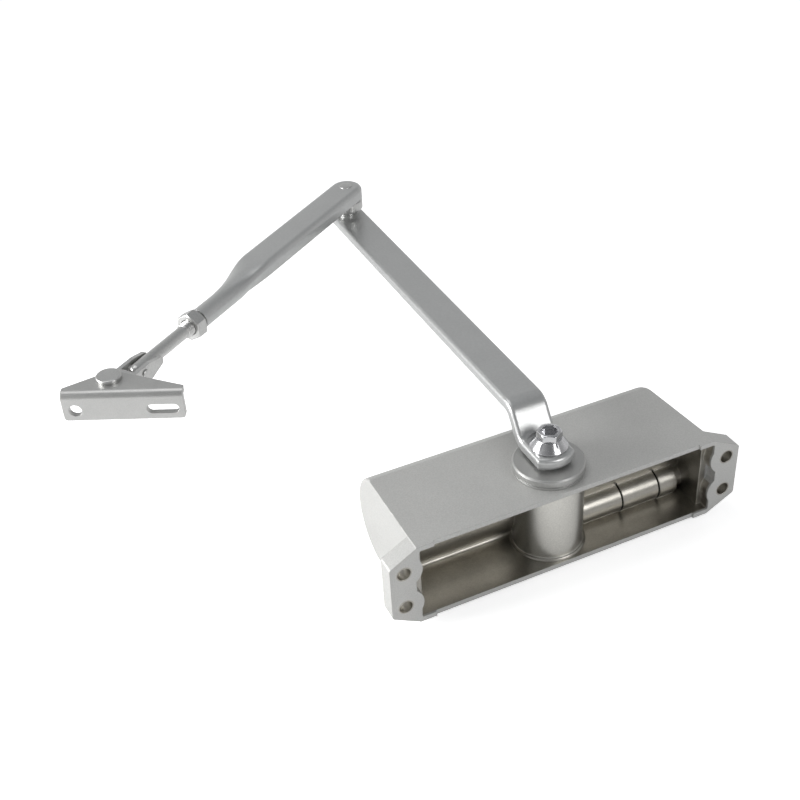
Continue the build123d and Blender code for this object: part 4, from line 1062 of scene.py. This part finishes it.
@dataclass
class Studio:
    """Pale floor, soft lamps and the camera at the photograph's angle.

    Args:
        camera_place: where the camera stands, in metres.
        camera_right: the picture's right in the scene.
        camera_down: the picture's downward direction.
        camera_forward: where the camera looks.
        lens: focal length on a 36 mm sensor.
        floor_drop: gap between the closer and the floor, in metres.
        floor_tone: brightness of the floor's paper.
        floor_glow: light that the floor adds where the camera sees it.
        floor_mirror_share: share of that light which polished metal mirrors.
        soft_light: strength of the surroundings on dull surfaces.
        mirror_light: strength of the surroundings that polished metal mirrors.
        soft_tone: their colour there.
        sky_tone: colour that polished metal mirrors from straight above.
        front_dark: colour it mirrors from the front, as dark bands.
        lamps: the soft lamps.
    """

    camera_place: tuple[float, float, float] = (-0.22827, -0.34887, 0.36698)
    camera_right: tuple[float, float, float] = (0.90362715, -0.42523446, -0.051319)
    camera_down: tuple[float, float, float] = (-0.28434979, -0.50596876, -0.81433458)
    camera_forward: tuple[float, float, float] = (0.32031731, 0.75044738, -0.57812243)
    lens: float = 55.33
    floor_drop: float = 0.0002
    floor_tone: float = 0.92
    floor_glow: float = 0.55
    floor_mirror_share: float = 0.25
    soft_light: float = 0.34
    mirror_light: float = 0.8
    soft_tone: tuple[float, float, float] = (0.97, 0.98, 1.0)
    sky_tone: tuple[float, float, float] = (0.45, 0.46, 0.47)
    front_dark: tuple[float, float, float] = (0.04, 0.04, 0.045)
    lamps: tuple[Lamp, ...] = (
        Lamp("window_left", (-0.85, 0.30, 0.24), (0.0, 0.08, 0.0), 0.45, 9.0),
        Lamp("overhead", (-0.20, 0.35, 0.90), (0.0, 0.08, 0.0), 0.60, 1.7),
        Lamp("front_high", (0.35, -0.85, 0.58), (0.0, 0.05, 0.0), 0.45, 3.3),
    )

    def build(self) -> None:
        """Make the floor, the world, the lamps and the camera."""
        self.floor()
        self.world()
        for lamp in self.lamps:
            lamp.build()
        self.camera()

    def floor(self) -> None:
        """Wide pale floor just under the closer."""
        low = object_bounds()[0]
        side = np.linspace(-3.0, 3.0, 5)
        x, y = np.meshgrid(side, side, indexing="ij")
        points = np.stack([x, y, np.full_like(x, low.z - self.floor_drop)], axis=-1)
        floor = grid_mesh("floor", points[:, ::-1], wrap_around=False, caps=False)
        shader = Shader(bpy.data.materials.new("studio_floor"))
        paper = shader.add("ShaderNodeBsdfDiffuse")
        shader.feed(paper.inputs["Color"], (self.floor_tone,) * 3)
        glow = shader.light("ShaderNodeEmission", WHITE, self.floor_glow)
        path = shader.add("ShaderNodeLightPath")
        mirrored = shader.math("MAXIMUM", path.outputs["Is Glossy Ray"], path.outputs["Is Transmission Ray"])
        seen = shader.math("MAXIMUM", path.outputs["Is Camera Ray"],
                           shader.math("MULTIPLY", mirrored, self.floor_mirror_share))
        total = shader.add("ShaderNodeAddShader")
        shader.join(paper.outputs["BSDF"], total.inputs[0])
        shader.join(glow, total.inputs[1])
        shader.join(shader.choose(seen, paper.outputs["BSDF"], total.outputs["Shader"]),
                    shader.output.inputs["Surface"])
        floor.data.materials.append(shader.block)
        floor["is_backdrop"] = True

    def world(self) -> None:
        """Even pale surroundings, white where the camera looks past the floor."""
        world = bpy.data.worlds.new("studio")
        bpy.context.scene.world = world
        shader = Shader(world)
        split = shader.add("ShaderNodeSeparateXYZ")
        shader.join(shader.coordinates.outputs["Generated"], split.inputs["Vector"])
        sky = shader.ramp(split.outputs["Z"], 0.10, 0.75, WHITE, self.sky_tone)
        front = shader.add("ShaderNodeMapRange")
        for name, value in (("From Min", -0.9), ("From Max", 0.1), ("To Min", 0.35), ("To Max", 1.0)):
            front.inputs[name].default_value = value
        shader.join(split.outputs["Y"], front.inputs["Value"])
        shaded = shader.mix(front.outputs["Result"], self.front_dark, sky)
        mirrored = shader.light("ShaderNodeBackground", shaded, self.mirror_light)
        soft = shader.light("ShaderNodeBackground", self.soft_tone, self.soft_light)
        white = shader.light("ShaderNodeBackground", WHITE, 1.0)
        path = shader.add("ShaderNodeLightPath")
        seen = shader.math("MAXIMUM", path.outputs["Is Glossy Ray"], path.outputs["Is Transmission Ray"])
        lit = shader.choose(seen, soft, mirrored)
        full = shader.choose(path.outputs["Is Camera Ray"], lit, white)
        shader.join(full, shader.output.inputs["Surface"])

    def camera(self) -> None:
        """Camera solved from the screw holes and edges seen in the photograph."""
        data = bpy.data.cameras.new("camera")
        data.sensor_width = 36.0
        data.lens = self.lens
        data.clip_start = 0.01
        data.clip_end = 50.0
        camera = bpy.data.objects.new("camera", data)
        right, down, forward = (Vector(v).normalized() for v in
                                (self.camera_right, self.camera_down, self.camera_forward))
        turn = Matrix((right, -down, -forward)).transposed()
        camera.matrix_world = Matrix.Translation(self.camera_place) @ turn.to_4x4()
        bpy.context.scene.collection.objects.link(camera)
        bpy.context.scene.camera = camera


def main() -> None:
    """Dress the packed closer, build what replaces plain nodes, and set up the studio."""
    logging.basicConfig(level=logging.INFO, format="%(message)s")
    bpy.context.scene.view_settings.view_transform = "Standard"
    finishes = Finishes()
    line = rod_line()
    for part in (CloserBody(finishes), ArmLinkage(finishes), ThreadedRod(finishes, line),
                 LockNut(finishes, line), ConeScrew(finishes), PressedForearm(finishes, line),
                 Elbow(finishes), Studio()):
        part.build()
        LOG.info("built %s", type(part).__name__)


if __name__ == "__main__":
    main()
